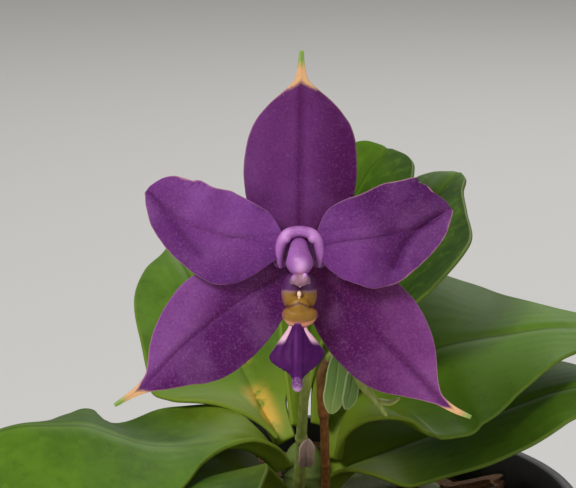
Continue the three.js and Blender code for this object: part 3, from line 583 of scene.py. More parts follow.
# Leaves. Broad, fleshy and waxy, in two ranks from the bottom up. Each clasps the stem with a folded base,
# then opens flat on either side of a sunk midrib that shows below as a keel; the veins run lengthwise.
LEAVES = {
    "leaf_lower_left": {
        "spine": [
            [-3.0, -1.5, 92.5], [-9.2, -9, 99.6], [-18.5, -18, 100.8], [-31, -28, 99.7], [-42, -34, 96.5],
            [-50, -37.5, 91.5],
        ],
        "facing": [[0, [0.5, 0.4, 1]], [0.4, [0, -0.1, 1]], [1, [-0.3, -0.4, 1]]],
        "left": [[0, 3.8], [9, 5], [18, 13], [30, 20], [44, 20], [56, 12], [62, 5], [66, 0.8]],
        "right": [[0, 3.8], [4, 9], [8, 16], [16, 21], [30, 20], [44, 19], [56, 12], [62, 5], [66, 0.8]],
        "lift_left": [[0, 48], [12, 30], [26, 8], [66, -4]],
        "lift_right": [[0, 48], [8, 28], [14, 6], [30, 0], [66, -4]],
        "cup": [[0, 0], [66, -0.1]],
    },
    "leaf_lower_right": {
        "spine": [
            [8.9, 2, 92.8], [12.8, 2.2, 97.2], [22, 3, 101], [31.7, 3.4, 104.4], [41.5, 4, 107.8],
            [53.3, 5, 111.8], [64.5, 5, 114],
        ],
        "facing": [[0, [-0.6, 0, 1]], [0.35, [-0.1, -0.2, 1]], [1, [-0.1, -0.2, 1]]],
        "left": [[0, 3.6], [4, 7], [10, 15], [18, 21], [30, 23], [42, 21], [53, 14], [59, 7], [62.6, 0.8]],
        "right": [
            [0, 3.6], [4, 7], [9, 12.5], [16, 16], [28, 16], [38, 14.5], [48, 12], [56, 8], [60, 4],
            [62.6, 0.8],
        ],
        "lift_left": [[0, 48], [12, 22], [24, 4], [62, 0]],
        "lift_right": [[0, 48], [8, 14], [16, 2], [62, 0]],
        "cup": [[0, 0], [30, -0.08], [62, -0.1]],
    },
    "leaf_front_left": {
        "spine": [
            [-2.2, -0.4, 97.6], [-5, -4, 102.3], [-9.2, -7, 105.2], [-13.9, -10, 106.1],
            [-20.7, -14, 106.4], [-26.6, -17, 107.6], [-32.3, -19, 110], [-38.9, -20, 112.3],
            [-48, -21, 112.6], [-57.5, -21, 110.1], [-65, -21.5, 106],
        ],
        "facing": [[0, [0.6, 0.3, 1]], [0.25, [0.1, -0.1, 1]], [0.6, [0, -0.25, 1]], [1, [-0.2, -0.3, 1]]],
        "left": [
            [0, 3.4], [10, 3.8], [18, 4.2], [25, 6.5], [31, 12], [38, 20], [48, 25], [58, 24], [68, 15],
            [74, 6], [77.4, 0.8],
        ],
        "right": [
            [0, 3.6], [8, 6], [14, 13], [22, 21], [33, 23.5], [46, 21], [57, 16], [67, 11], [74, 5],
            [77.4, 0.8],
        ],
        "lift_left": [[0, 46], [12, 30], [20, 8], [34, -12], [77, -14]],
        "lift_right": [[0, 46], [9, 32], [17, 4], [30, -15], [46, -20], [60, -28], [77, -27]],
        "cup": [[0, 0], [40, -0.05], [77, -0.12]],
        "wave": {"height": 0.9, "length": 40, "phase": 0.4},
    },
    "leaf_right": {
        "spine": [
            [9.9, 2.6, 98.8], [10.5, 4.2, 104.4], [12.3, 6.2, 109.4], [16.2, 8.3, 113.1],
            [21.1, 10, 115.4], [30.9, 12.5, 118.8], [42.1, 14, 120.5], [54, 14.5, 122],
            [63.4, 14.5, 121.6],
        ],
        "facing": [[0, [-0.9, -0.2, 1]], [0.3, [-0.3, -0.3, 1]], [0.7, [0, -0.27, 1]], [1, [0.1, -0.2, 1]]],
        "left": [
            [0, 3.6], [8, 5], [15, 14], [24, 27], [34, 30], [43, 24], [51, 15], [58, 9], [64, 6], [68, 0.8],
        ],
        "right": [
            [0, 3.6], [5, 9], [10, 19], [17, 25], [26, 26], [35, 24.5], [44, 21], [53, 15.5], [61, 9],
            [66, 4], [68, 0.8],
        ],
        "lift_left": [[0, 38], [9, 34], [18, 18], [30, 7], [68, 2]],
        "lift_right": [[0, 38], [8, 20], [14, -6], [26, -8], [36, -2], [68, 2]],
        "cup": [[0, 0], [30, -0.04], [68, -0.06]],
        "wave": {"height": 1.2, "length": 34, "phase": 2.2},
    },
    "leaf_back_left": {
        "spine": [
            [-1.8, 5, 101.1], [-4.7, 9, 106.1], [-8.2, 15, 111.1], [-12.9, 22, 117.5], [-17.9, 30, 124.2],
            [-21.9, 38, 129.6], [-24.4, 44, 132],
        ],
        "facing": [[0, [0.6, -0.5, 0.9]], [0.5, [0.35, -0.7, 0.8]], [1, [0.1, -0.5, 1]]],
        "left": [
            [0, 4], [3, 6], [7, 11], [12, 18.5], [18, 20.5], [24, 18.8], [31, 17], [41, 13.5], [49, 8],
            [53, 3], [55.6, 0.8],
        ],
        "right": [[0, 3.6], [7, 5], [14, 12], [24, 19], [36, 19], [46, 13], [52, 6], [55.6, 0.8]],
        "lift_left": [[0, 50], [7, 20], [13, 0], [20, -3], [32, 4], [55, 4]],
        "lift_right": [[0, 50], [9, 42], [18, 18], [30, 6], [55, 4]],
        "cup": [[0, 0], [55, -0.08]],
    },
    "leaf_back_right": {
        "spine": [
            [6.9, 4.4, 105], [9.8, 8, 114.5], [16, 16, 125.6], [23.6, 28, 136], [30.8, 40.5, 143.2],
            [35.6, 48.6, 146.6],
        ],
        "facing": [[0, [-0.6, -0.7, 0.6]], [0.5, [-0.4, -0.8, 0.6]], [1, [-0.3, -0.6, 0.9]]],
        "left": [[0, 2.6], [10, 5], [22, 6.5], [34, 7], [46, 8], [58, 7], [64, 4.5], [67.5, 0.8]],
        "right": [[0, 2.6], [8, 6], [16, 16], [25, 25], [36, 23], [48, 14], [58, 7], [64, 4], [67.5, 0.8]],
        "lift": [[0, 52], [14, 44], [34, 34], [68, 26]],
        "cup": [[0, 0], [68, -0.1]],
    },
    "leaf_newest": {
        "spine": [
            [2.2, 5.2, 104.6], [3.8, 12.6, 118.2], [9, 24, 136], [15.6, 33.4, 148.4], [20.4, 39.4, 153.6],
        ],
        "facing": [[0, [-0.3, -1, 0.2]], [0.6, [-0.3, -0.9, 0.5]], [1, [0, -0.6, 0.9]]],
        "left": [[0, 2.2], [8, 4.5], [16, 7], [26, 9], [40, 11], [50, 10], [56, 7.5], [59.6, 5], [61.4, 0.8]],
        "right": [
            [0, 2.2], [8, 4.5], [16, 7], [26, 10], [40, 14], [50, 15], [56, 12], [59.6, 7], [61.4, 0.8],
        ],
        "lift": [[0, 60], [20, 48], [61, 34]],
        "cup": [[0, 0], [61, -0.12]],
    },
}
LEAF_ROWS = 76
LEAF_COLS = 38
LEAF_THICKNESS = (1.7, 0.9)
TIP_WIDTH = 0.3
BLADE_STEP = 0.3
BLADE_SIDE_STEP = 0.05
BLADE_TAPER = 1.3
LEAF_BROAD = 24
LEAF_VEIN_GAP = 1.15
LEAF_VEIN_RISE = 0.035
LEAF_GROOVE_DEPTH = 0.5
LEAF_GROOVE_WIDTH = 1.1
LEAF_SWAY = 0.22
LEAF_MARGIN_RISE = 0.12
LEAF_SHEEN = (0.8, 1, 0.6, 1)
# Painted light and shade for each leaf: light is how lit its green is, low for a leaf that lies in shadow;
# shaded is painted shade over its right half, where it folds away from the light; the third number is the
# strength of a painted warm highlight on its base.
LEAF_LOOKS = {
    "leaf_lower_left": {"light": 0.15},
    "leaf_lower_right": {"light": 0.75},
    "leaf_front_left": {"light": 0.8, "shaded": 0.55},
    "leaf_right": {"light": 1.1},
    "leaf_back_left": {"light": 0.9, "warm_highlight": 1.0},
    "leaf_back_right": {"light": 0.3, "shaded": 0.4},
    "leaf_newest": {"light": 0.9, "shaded": 0.85},
}


def kept_number(piece, name):
    """The values that a piece keeps under a name, one for each vertex."""
    values = np.empty(len(piece.data.vertices))
    piece.data.attributes[name].data.foreach_get("value", values)
    return values


def half_width(spec, d, s):
    """How far the blade reaches from its midline, to the side of s, with its outline ending at its tip."""
    at = d * spec["left"][-1][0] / Midline(spec["spine"]).length
    width = np.where(s >= 0, along(spec["right"], at), along(spec["left"], at))
    return np.maximum(width, TIP_WIDTH)


def blade_place(spec, broad, d, s):
    """Where a blade's skin lies, at distance d from its base and s from -1 to 1 across it."""
    line = Midline(spec["spine"])
    right = s >= 0
    width = half_width(spec, d, s)
    lift_left = along(spec.get("lift_left", spec.get("lift")), d)
    lift_right = along(spec.get("lift_right", spec.get("lift")), d)
    lift = np.radians(np.where(right, lift_right, lift_left))
    forward = line.forward(d)
    looks = [(share * line.length, np.array(way, float)) for share, way in spec["facing"]]
    face = np.stack([along([(at, way[k]) for at, way in looks], d) for k in range(3)], axis=-1)
    across = unit(np.cross(forward, face))
    out = unit(np.cross(across, forward))
    reach = width * np.abs(s)
    rise = np.sin(lift) * reach + along(spec.get("cup", [[0, 0], [1, 0]]), d) * width * s**2
    wave = spec.get("wave", {"height": 0, "length": 30, "phase": 0})
    swell = np.sin(2 * np.pi * d / wave["length"] + wave["phase"] + 1.9 * right)
    rise = rise + wave["height"] * swell * s**2 * np.minimum(1, width / broad)
    return line.at(d) + across * (np.sign(s) * np.cos(lift) * reach)[:, None] + out * rise[:, None]


def moved(points, place):
    return points @ np.array(place.to_3x3()).T + np.array(place.translation)


def grow_blade(spec, rows, cols, thickness, broad, relief, place=Matrix()):
    """A leaf, sepal or petal: a grid laid along its midline, shaped by relief(), then given its thickness."""
    bpy.ops.object.select_all(action="DESELECT")
    bpy.ops.mesh.primitive_grid_add(x_subdivisions=cols, y_subdivisions=rows, size=1)
    blade = bpy.context.object
    flat = points_of(blade)
    s = flat[:, 0] * 2
    line = Midline(spec["spine"])
    d = (flat[:, 1] + 0.5) * line.length
    p = blade_place(spec, broad, d, s)
    down = blade_place(spec, broad, np.minimum(d + BLADE_STEP, line.length), s)
    up = blade_place(spec, broad, np.maximum(d - BLADE_STEP, 0), s)
    left = blade_place(spec, broad, d, np.maximum(s - BLADE_SIDE_STEP, -1))
    right = blade_place(spec, broad, d, np.minimum(s + BLADE_SIDE_STEP, 1))
    normal = unit(np.cross(right - left, down - up))
    half = half_width(spec, d, s)
    height, fold = relief(p, d, s, half, line.length)
    p = p + normal * height[:, None]
    set_points(blade, moved(p, place) * MM)
    edge = (1 - np.abs(s)) * half
    # fold marks a crease; the tepals' paint lays painted shade along it.
    numbers = {"across": s, "side": s * half, "reach": d, "left": line.length - d, "edge": edge, "fold": fold}
    for name, values in numbers.items():
        keep_number(blade, name, values)
    body = thickness[1] + (thickness[0] - thickness[1]) * (1 - np.abs(s)) ** BLADE_TAPER
    group = blade.vertex_groups.new(name="body")
    for k, weight in enumerate(body / thickness[0]):
        group.add([k], float(weight), "REPLACE")
    wall = blade.modifiers.new("wall", "SOLIDIFY")
    wall.thickness = thickness[0] * MM
    wall.offset = 0
    wall.vertex_group = "body"
    wall.material_offset = 1
    wall.material_offset_rim = 2
    soft = blade.modifiers.new("soft", "SUBSURF")
    soft.levels = 1
    apply_all(blade)
    bpy.ops.object.shade_smooth()
    return blade


def leaf_relief(p, d, s, half, length):
    """A leaf's skin: the groove over its midrib, its veins, its sway and its rolled margin."""
    side = s * half
    base = np.clip(d / 8, 0, 1)
    tip = np.clip((length - d) / 8, 0, 1)
    broad_part = np.clip(half / 10, 0, 1)
    groove = -LEAF_GROOVE_DEPTH * np.exp(-((side / LEAF_GROOVE_WIDTH) ** 2)) * base * tip
    veins = LEAF_VEIN_RISE * np.cos(side * np.pi / LEAF_VEIN_GAP) * np.clip(half / 8, 0, 1)
    veins = veins * (1 - np.abs(s) ** 4)
    sway = LEAF_SWAY * np.sin(d / 5.5 + p[:, 0] / 9) * s**2 * broad_part
    margin = LEAF_MARGIN_RISE * np.clip((np.abs(s) - 0.93) / 0.07, 0, 1) * broad_part
    return groove + veins + sway + margin, np.zeros_like(d)


def leaf_paint(place):
    side, reach, edge = place.own("side"), place.own("reach"), place.own("edge")
    tone, warm_highlight_strength = place.own("leaf_painted_light"), place.own("warm_highlight_strength")
    clouds = place.speckle(75, 3.0, 0.55)
    mottle = place.speckle(420, 4.0)
    grain = place.speckle(3400, 2.0, 0.5)
    veins = (side * (2 * math.pi / LEAF_VEIN_GAP) + clouds * 3).math("SINE")
    rib = abs(side).fade(0.0, 0.75)
    shoulder = abs(side).fade(0.5, 2.6)
    foot = reach.fade(4.0, 26.0)
    # Painted warm highlights: two orange-yellow patches along the channelled base of a leaf, where its glossy
    # skin catches the light.
    band = abs(reach - 8).fade(2.5, 7.5) + abs(reach - 23).fade(1.5, 5.0)
    warm_highlight = warm_highlight_strength * band * abs(side).fade(0.8, 4.2) * mottle.ease(0.25, 0.55)
    colour = painted(place, (40, 68, 6), [
        # lighter with the leaf's painted light, and in random clouds
        (tone * 0.75 + clouds.ease(0.3, 0.7) * 0.4, (88, 126, 26)),
        (mottle.ease(0.5, 0.72) * 0.3, (104, 142, 38)),
        (mottle.ease(0.46, 0.3) * 0.2, (30, 54, 8)),
        (veins.ease(0.55, 1.0) * 0.16, (40, 70, 14)),
        (shoulder * 0.22, (118, 146, 54)),
        (rib * 0.5, (38, 62, 10)),
        (edge.fade(0.1, 0.6) * 0.4, (128, 144, 62)),
        (foot * 0.75, (128, 146, 40)),
        # painted warm highlight
        (warm_highlight * 0.9, (226, 178, 74)),
        (grain.ease(0.6, 0.78) * 0.18, (132, 158, 80)),
    ])
    rough = 0.4 + mottle * 0.14 + grain * 0.06
    height = veins * 0.12 + grain * 0.22 + mottle * 0.3
    return colour, rough, height


def leaf_under_paint(place):
    side, edge = place.own("side"), place.own("edge")
    clouds = place.speckle(90, 3.0, 0.55)
    grain = place.speckle(2600, 3.0, 0.5)
    veins = (side * (2 * math.pi / LEAF_VEIN_GAP) + clouds * 3).math("SINE")
    keel = abs(side).fade(0.3, 2.0)
    colour = painted(place, (82, 108, 38), [
        (clouds.ease(0.3, 0.7) * 0.6, (108, 134, 56)),
        (veins.ease(0.4, 1.0) * 0.25, (86, 112, 50)),
        (keel * 0.45, (168, 182, 112)),
        (edge.fade(0.1, 0.7) * 0.5, (158, 170, 96)),
        (grain.ease(0.55, 0.8) * 0.2, (160, 176, 118)),
    ])
    rough = 0.52 + grain * 0.1
    height = veins * 0.15 + grain * 0.25
    return colour, rough, height


def leaf_rim_paint(place):
    grain = place.speckle(900, 3.0, 0.5)
    colour = painted(place, (104, 120, 46), [
        (grain.ease(0.4, 0.7) * 0.6, (84, 100, 30)),
    ])
    return colour, 0.5 + grain * 0.1, grain


leaf_top = finish("leaf_upper_skin", leaf_paint, relief=0.06, gloss=0.24, Specular_Tint=LEAF_SHEEN)
leaf_under = finish("leaf_lower_skin", leaf_under_paint, relief=0.06, gloss=0.25)
leaf_rim = finish("leaf_margin", leaf_rim_paint, relief=0.04, gloss=0.38)
for name, spec in LEAVES.items():
    leaf = grow_blade(spec, LEAF_ROWS, LEAF_COLS, LEAF_THICKNESS, LEAF_BROAD, leaf_relief)
    looks = LEAF_LOOKS[name]
    # Painted light and shade for this leaf, darker over its right half.
    right_half = np.clip(kept_number(leaf, "across") * 8, 0, 1)
    keep_number(leaf, "leaf_painted_light", looks["light"] - looks.get("shaded", 0.0) * right_half)
    keep_number(leaf, "warm_highlight_strength", np.full(len(right_half), looks.get("warm_highlight", 0.0)))
    name_piece(name.replace("leaf_", "") + "_leaf", [leaf_top, leaf_under, leaf_rim], name)

# Flower spike. The brown-red stalk comes up from a lower leaf axil, jointed, with a pale scar at each joint;
# past it the green flattened end zigzags between boat-shaped bracts and forks at its tip.
LARGE_BRACT = [[9.4, -36.4, 131], [8.8, -37.2, 126], [7.7, -38, 120.2]]
SMALL_BRACT = [[11.8, -37.3, 128.8], [11.2, -38, 124.4], [10.4, -38.6, 121.2]]
DRY_BRACT = [[3.3, -10.6, 101.8], [3.5, -12.4, 104.6], [3.7, -13.4, 108]]
BRACT_GRID = (26, 14)
BRACT_THICKNESS = (0.9, 0.5)
PEDUNCLE = [
    [5.6, -3.2, 94], [6.6, -6.6, 94.6], [7.2, -10.4, 97.6], [7.0, -18, 107.2], [6.6, -25, 115.8],
    [6, -30, 121.5], [6, -33, 126], [7, -35, 129.2],
]
PEDUNCLE_RADII = [(0, 1.1), (0.2, 0.85), (0.5, 0.8), (0.66, 0.8), (0.7, 1.0), (0.74, 0.8), (1, 0.85)]
PEDUNCLE_JOINTS = (16.0, 32.5)
RACHIS = [
    [7.1, -35.1, 129.4], [9, -36.2, 131], [11, -37, 129.6], [12.6, -37.8, 127], [14.6, -38.8, 124.4],
    [17.7, -40, 120.4],
]
RACHIS_RADII = [(0, 0.9), (0.25, 1.5), (0.4, 1.1), (0.55, 1.5), (0.75, 1.0), (1, 0.45)]
PRONG = [[15.6, -39.1, 123], [18, -39.7, 122.8], [20, -40.2, 123.8]]
OLD_SPIKE = [
    [2.2, -3.2, 95], [2.3, -6, 98.4], [2.5, -12, 107.4], [2.8, -18, 114.5], [3, -22, 119.6],
    [3.1, -25, 124.2],
]
OLD_SPIKE_RADII = [(0, 1.3), (0.3, 1.0), (0.45, 1.05), (0.7, 0.9), (0.94, 0.85), (1, 0.5)]


def stalk_skin(d, turn):
    joints = sum(np.exp(-(((d - joint) / 0.5) ** 2)) for joint in PEDUNCLE_JOINTS)
    return 0.22 * joints + 0.03 * np.sin(4 * turn + d * 0.3) + 0.02 * np.sin(d * 2.1)


def peduncle_paint(place):
    reach = place.own("reach")
    streaks = place.stretched((1500, 420, 420)).speckle(1.0, 4.0)
    dots = place.speckle(1900)
    lower, upper = [abs(reach - joint).fade(0.1, 0.9) for joint in PEDUNCLE_JOINTS]
    colour = painted(place, (128, 76, 36), [
        (streaks.ease(0.4, 0.7) * 0.7, (176, 126, 66)),
        (dots.ease(0.58, 0.72) * 0.5, (62, 28, 18)),
        (reach.ease(36.0, 46.0) * 0.4, (112, 92, 42)),
        ((lower + upper) * 0.55, (74, 44, 26)),
    ])
    return colour, 0.5 + dots * 0.15, dots * 0.5 + streaks * 0.4


def spike_paint(place):
    reach = place.own("reach")
    streaks = place.stretched((1500, 500, 500)).speckle(1.0, 4.0)
    dots = place.speckle(1700)
    colour = painted(place, (136, 152, 62), [
        (streaks.ease(0.35, 0.7) * 0.8, (172, 180, 104)),
        (dots.ease(0.6, 0.75) * 0.35, (168, 186, 122)),
        (reach.ease(0.8, 0.0) * 0.4, (152, 140, 84)),
    ])
    return colour, 0.45 + dots * 0.14, dots * 0.4 + streaks * 0.4


def bract(spine, facing, half, length):
    """A small boat-shaped scale: widest past its middle, blunt-tipped, keeled and in-curved."""
    left = [[0, half * 0.7], [length * 0.3, half], [length * 0.7, half]]
    left += [[length * 0.93, half * 0.55], [length, 0.3]]
    spec = {"spine": spine, "facing": [[0, facing], [1, facing]], "left": left, "right": left}
    spec["lift"] = [[0, 24], [length, 14]]
    return grow_blade(spec, *BRACT_GRID, BRACT_THICKNESS, LEAF_BROAD, bract_relief)


def bract_relief(p, d, s, half, length):
    keel = -0.16 * np.exp(-((s / 0.16) ** 2))
    ribs = 0.04 * np.cos(s * 15) * (1 - s**2)
    return keel + ribs, np.zeros_like(d)


def bract_paint(place):
    side, edge, reach = place.own("side"), place.own("edge"), place.own("reach")
    ribs = (side * 9).math("SINE")
    dots = place.speckle(1500)
    colour = painted(place, (84, 116, 46), [
        (ribs.ease(0.1, 1.0) * 0.45, (132, 160, 82)),
        (abs(side).fade(0.0, 0.35) * 0.5, (158, 182, 110)),
        (edge.fade(0.05, 0.3) * 0.7, (170, 186, 126)),
        (reach.ease(5.5, 11.0) * 0.3, (152, 160, 82)),
        (dots.ease(0.6, 0.8) * 0.3, (64, 92, 30)),
    ])
    return colour, 0.45 + dots * 0.12, ribs * 0.3 + dots * 0.3


def dry_bract_paint(place):
    side, edge = place.own("side"), place.own("edge")
    fibre = (side * 14).math("SINE")
    dots = place.speckle(1700, 4.0, 0.65)
    colour = painted(place, (160, 136, 122), [
        (fibre.ease(0.0, 1.0) * 0.5, (196, 172, 158)),
        (dots.ease(0.5, 0.7) * 0.5, (122, 96, 82)),
        (edge.fade(0.05, 0.3) * 0.5, (212, 190, 176)),
    ])
    return colour, 0.8 + dots * 0.12, fibre * 0.5 + dots * 0.5


brown_stalk = finish("peduncle_skin", peduncle_paint, relief=0.05, gloss=0.4)
green_stalk = finish("spike_skin", spike_paint, relief=0.05, gloss=0.4)
green_bract = finish("bract_skin", bract_paint, relief=0.04, gloss=0.4)
dry_bract = finish("dry_bract_skin", dry_bract_paint, relief=0.06, gloss=0.25)

draw_stalk(PEDUNCLE, PEDUNCLE_RADII, sides=20, rows=130, swell=stalk_skin)
name_piece("peduncle_stalk", [brown_stalk], "peduncle")

zigzag = draw_stalk(RACHIS, RACHIS_RADII, sides=22, rows=70, depth=0.62)
prong = draw_stalk(PRONG, [(0, 0.8), (0.5, 0.7), (1, 0.4)], sides=16, rows=30, depth=0.7)
join_pieces([zigzag, prong])
name_piece("rachis", [green_stalk], "rachis_and_bracts")
large_bract = bract(LARGE_BRACT, [-0.2, -1, 0.1], half=2.1, length=11)
small_bract = bract(SMALL_BRACT, [0.2, -1, 0.1], half=1.5, length=7.8)
join_pieces([large_bract, small_bract])
name_piece("rachis_bracts", [green_bract] * 3, "rachis_and_bracts")

draw_stalk(OLD_SPIKE, OLD_SPIKE_RADII, sides=20, rows=110, swell=stalk_skin)
name_piece("old_green_spike", [green_stalk], "old_spike")
bract(DRY_BRACT, [0.1, -1, 0.5], half=1.6, length=7)
name_piece("old_spike_bract", [dry_bract] * 3, "old_spike")

# Pedicel and ovary. One stalk from the green spike end to the back of the bloom: it thickens into the ovary,
# which has six lengthwise ribs and is flushed purple under the sepals.
PEDICEL = [
    [9.3, -35.5, 131.9], [8.4, -33.6, 137], [6.4, -34.2, 143], [3.8, -37.6, 148], [2.3, -41, 149.7],
    [2.1, -43.7, 149.9],
]
PEDICEL_RADII = [(0, 0.9), (0.4, 1.0), (0.7, 1.5), (0.92, 1.7), (1, 1.3)]


def ovary_ribs(d, turn):
    return 0.09 * np.cos(6 * turn + d * 0.12) * np.clip(d / 9, 0, 1)


def pedicel_paint(place):
    reach = place.own("reach")
    streaks = place.stretched((1300, 500, 500)).speckle(1.0, 4.0)
    dots = place.speckle(2100)
    colour = painted(place, (118, 146, 74), [
        (streaks.ease(0.35, 0.7) * 0.6, (162, 182, 112)),
        (reach.ease(13.0, 22.0) * 0.75, (132, 88, 138)),
        (dots.ease(0.6, 0.75) * 0.35, (196, 186, 182)),
    ])
    return colour, 0.45 + dots * 0.14, dots * 0.4 + streaks * 0.4


draw_stalk(PEDICEL, PEDICEL_RADII, sides=36, rows=90, swell=ovary_ribs)
pedicel_skin = finish("pedicel_skin", pedicel_paint, relief=0.04, gloss=0.4)
name_piece("pedicel_and_ovary", [pedicel_skin], "pedicel")

# Sepals and petals. Five fleshy tepals in two whorls, the petals in front. Each is a thin waxy blade with a
# sunk midline that shows behind as a keel, a skin of bead-like cells and a pale rim. The sepals end in a
# cream and green spike.
BLOOM = Matrix.Translation((2.1, -45, 150)) @ Matrix.Rotation(math.radians(82), 4, "X")
TO_FRONT = [[0, [0, 0, 1]], [1, [0, 0, 1]]]
TEPALS = {
    "dorsal_sepal": {
        "spine": [
            [0, 0.9, -0.7], [0, 8, -1], [0, 16, -0.8], [0.1, 24, 0], [0.2, 30, 1.2], [0.2, 33.5, 2.2],
            [0.25, 37, 3.2],
        ],
        "facing": TO_FRONT,
        "left": [
            [0, 0.9], [1.2, 2.2], [3.5, 5], [7, 8], [11, 9.3], [15, 9.6], [19.6, 9.1], [22.6, 8.2],
            [25, 6.7], [27, 5], [29.6, 2.4], [31.2, 1.1], [33, 0.7], [36.3, 0.32],
        ],
        "right": [
            [0, 0.9], [1.2, 2.2], [3.5, 5], [7, 8], [11, 9.3], [15, 9.7], [19.6, 9.5], [22.6, 8.7],
            [25, 7.2], [27, 5.5], [29.6, 2.6], [31.2, 1.1], [33, 0.7], [36.3, 0.32],
        ],
        "lift": [[0, 6], [10, 4], [36, 2]],
        "cup": [[0, 0], [14, 0.08], [36, 0.02]],
    },
    "petal_left": {
        "spine": [
            [-3.3, 2.9, 0.9], [-8, 4, 1.7], [-13, 5, 2.2], [-18, 6.5, 2.4], [-22.2, 8.7, 2.3],
            [-25, 11, 2], [-26.7, 12.7, 1.6],
        ],
        "facing": TO_FRONT,
        "left": [
            [0, 2], [1.6, 3.8], [3.5, 5.9], [7.1, 8.1], [10.3, 9], [13.2, 8.2], [16, 6.9], [18.5, 5.7],
            [21, 4.4], [23.6, 2.6], [26.2, 0.5],
        ],
        "right": [
            [0, 2], [1.8, 3.9], [4.5, 5.9], [8, 7.3], [12, 7.8], [17, 7.8], [20, 7.4], [23, 6.3],
            [25, 4.4], [26.2, 0.6],
        ],
        "lift_left": [[0, 8], [8, 2], [26, -6]],
        "lift_right": [[0, 8], [10, 7], [26, 12]],
        "cup": [[0, 0], [14, -0.06], [26, -0.08]],
        "wave": {"height": 0.35, "length": 8, "phase": 0.6},
    },
    "petal_right": {
        "spine": [
            [3.3, 2.9, 0.9], [8, 3.9, 1.8], [13, 4.6, 2.3], [18, 5.6, 2.3], [22.3, 7, 2],
            [24.8, 8.4, 1.8], [26.3, 9.6, 1.5],
        ],
        "facing": TO_FRONT,
        "left": [
            [0, 2], [1.6, 4.6], [3.5, 6.3], [7, 7.7], [11, 8.5], [15.3, 8.9], [19, 8.5], [21.5, 7.3],
            [23.2, 5.6], [24.3, 3.3], [24.9, 0.6],
        ],
        "right": [
            [0, 2], [1.4, 4.2], [3.4, 6.4], [6.3, 8], [9.2, 9], [11.5, 8.9], [14, 8], [16.6, 6.6],
            [19, 5.2], [21.5, 3.4], [23.5, 1.6], [24.9, 0.6],
        ],
        "lift_left": [[0, 8], [10, 4], [25, -4]],
        "lift_right": [[0, 8], [10, 10], [17, 20], [25, 18]],
        "cup": [[0, 0], [14, -0.05], [25, -0.05]],
        "wave": {"height": 0.35, "length": 9, "phase": 2.4},
    },
    "lateral_sepal_left": {
        "spine": [
            [-0.75, -0.6, -0.7], [-4.9, -3.2, -0.8], [-11.5, -7.6, -0.6], [-18.2, -12.8, 0.1],
            [-21.9, -16.1, 0.7], [-25.6, -19.9, 1.6], [-28, -21.9, 2.2], [-30.2, -23.4, 2.8],
            [-32.4, -24.85, 3.4],
        ],
        "facing": TO_FRONT,
        "left": [
            [0, 0.6], [1.2, 1.3], [3, 3.1], [6.9, 6.8], [12.2, 8.8], [15.8, 9.4], [19, 9.5], [22, 9.1],
            [25.4, 7.8], [28.4, 5.7], [31.2, 3.5], [33.6, 1.7], [35.8, 0.9], [40, 0.32],
        ],
        "right": [
            [0, 0.6], [1.2, 1.1], [3, 2.7], [5, 4.8], [9, 7.4], [13, 8.4], [17, 8.6], [20.5, 7.9],
            [25.6, 5.8], [28.3, 4.1], [30.6, 2.4], [32.7, 1.1], [35, 0.6], [40, 0.32],
        ],
        "lift": [[0, 4], [10, 9], [24, 9], [40, 2]],
        "cup": [[0, 0], [18, -0.07], [40, 0]],
    },
    "lateral_sepal_right": {
        "spine": [
            [0.75, -0.6, -0.7], [4.5, -3.8, -0.8], [9.5, -8.4, -0.5], [14, -13, 0.1], [19, -18, 1.1],
            [22.4, -21.6, 1.9], [24.7, -24, 2.4], [27, -25.6, 2.9], [29.9, -26.95, 3.4],
        ],
        "facing": TO_FRONT,
        "left": [
            [0, 0.6], [1.2, 1.3], [3, 3.1], [6.5, 6.6], [10.5, 8.4], [14.1, 8.9], [17, 8.9], [20, 8.4],
            [24.3, 6.7], [26.9, 5], [29, 3.3], [31.2, 1.6], [33.3, 0.7], [39.5, 0.32],
        ],
        "right": [
            [0, 0.6], [1.2, 1.1], [3, 2.6], [5, 4.6], [8.6, 7], [12, 8], [15.8, 8.5], [18.8, 8.5],
            [21.6, 8.1], [24, 7.4], [26, 6.4], [28.5, 4.5], [31.3, 2.5], [33.8, 1], [39.5, 0.32],
        ],
        "lift": [[0, 4], [10, 9], [24, 9], [39, 2]],
        "cup": [[0, 0], [18, -0.07], [39, 0]],
    },
}
TEPAL_ROWS = 82
TEPAL_COLS = 44
TEPAL_THICKNESS = (1.0, 0.62)
TEPAL_BROAD = 9
TEPAL_VEIN_RISE = 0.022
TEPAL_GROOVE_DEPTH = 0.26
TEPAL_GROOVE_WIDTH = 0.42
TEPAL_WARP = 0.09
FOLDS = {
    "petal_right": [
        {
            "path": [(24.3, 8.4), (22.4, 7.3), (20.6, 6.1), (19, 4.4), (17.9, 2.9), (16.4, -0.4)],
            "width": 0.9, "depth": 0.75, "flip": 0.34,
        },
        {"path": [(3.6, 6.0), (7, 6.2), (10.5, 6.7)], "width": 0.45, "depth": 0.12, "flip": 0},
    ],
    "petal_left": [
        {
            "path": [(-26.3, 12.3), (-25, 10.6), (-23, 8.2), (-20.5, 4.8), (-17.6, 1.4)],
            "width": 0.8, "depth": 0.4, "flip": -0.22,
        },
        {"path": [(-3.6, 5.2), (-8, 5.0), (-12, 4.8)], "width": 0.45, "depth": 0.14, "flip": 0},
        {"path": [(-5.0, 8.6), (-7.5, 9.9)], "width": 0.4, "depth": 0.14, "flip": 0},
    ],
}


def fold_of(u, v, fold):
    """How near each point is to a fold's line, and how far past it, to the right of its way."""
    nearest = np.full(len(u), 1e9)
    past = np.zeros(len(u))
    path = np.array(fold["path"], float)
    for start, end in zip(path[:-1], path[1:]):
        way = end - start
        length = np.hypot(*way)
        share = np.clip(((u - start[0]) * way[0] + (v - start[1]) * way[1]) / length**2, 0, 1)
        gap_u, gap_v = u - start[0] - share * way[0], v - start[1] - share * way[1]
        gap = np.hypot(gap_u, gap_v)
        side = (way[1] * gap_u - way[0] * gap_v) / length
        past = np.where(gap < nearest, side, past)
        nearest = np.minimum(nearest, gap)
    return np.exp(-((nearest / fold["width"]) ** 2)), past


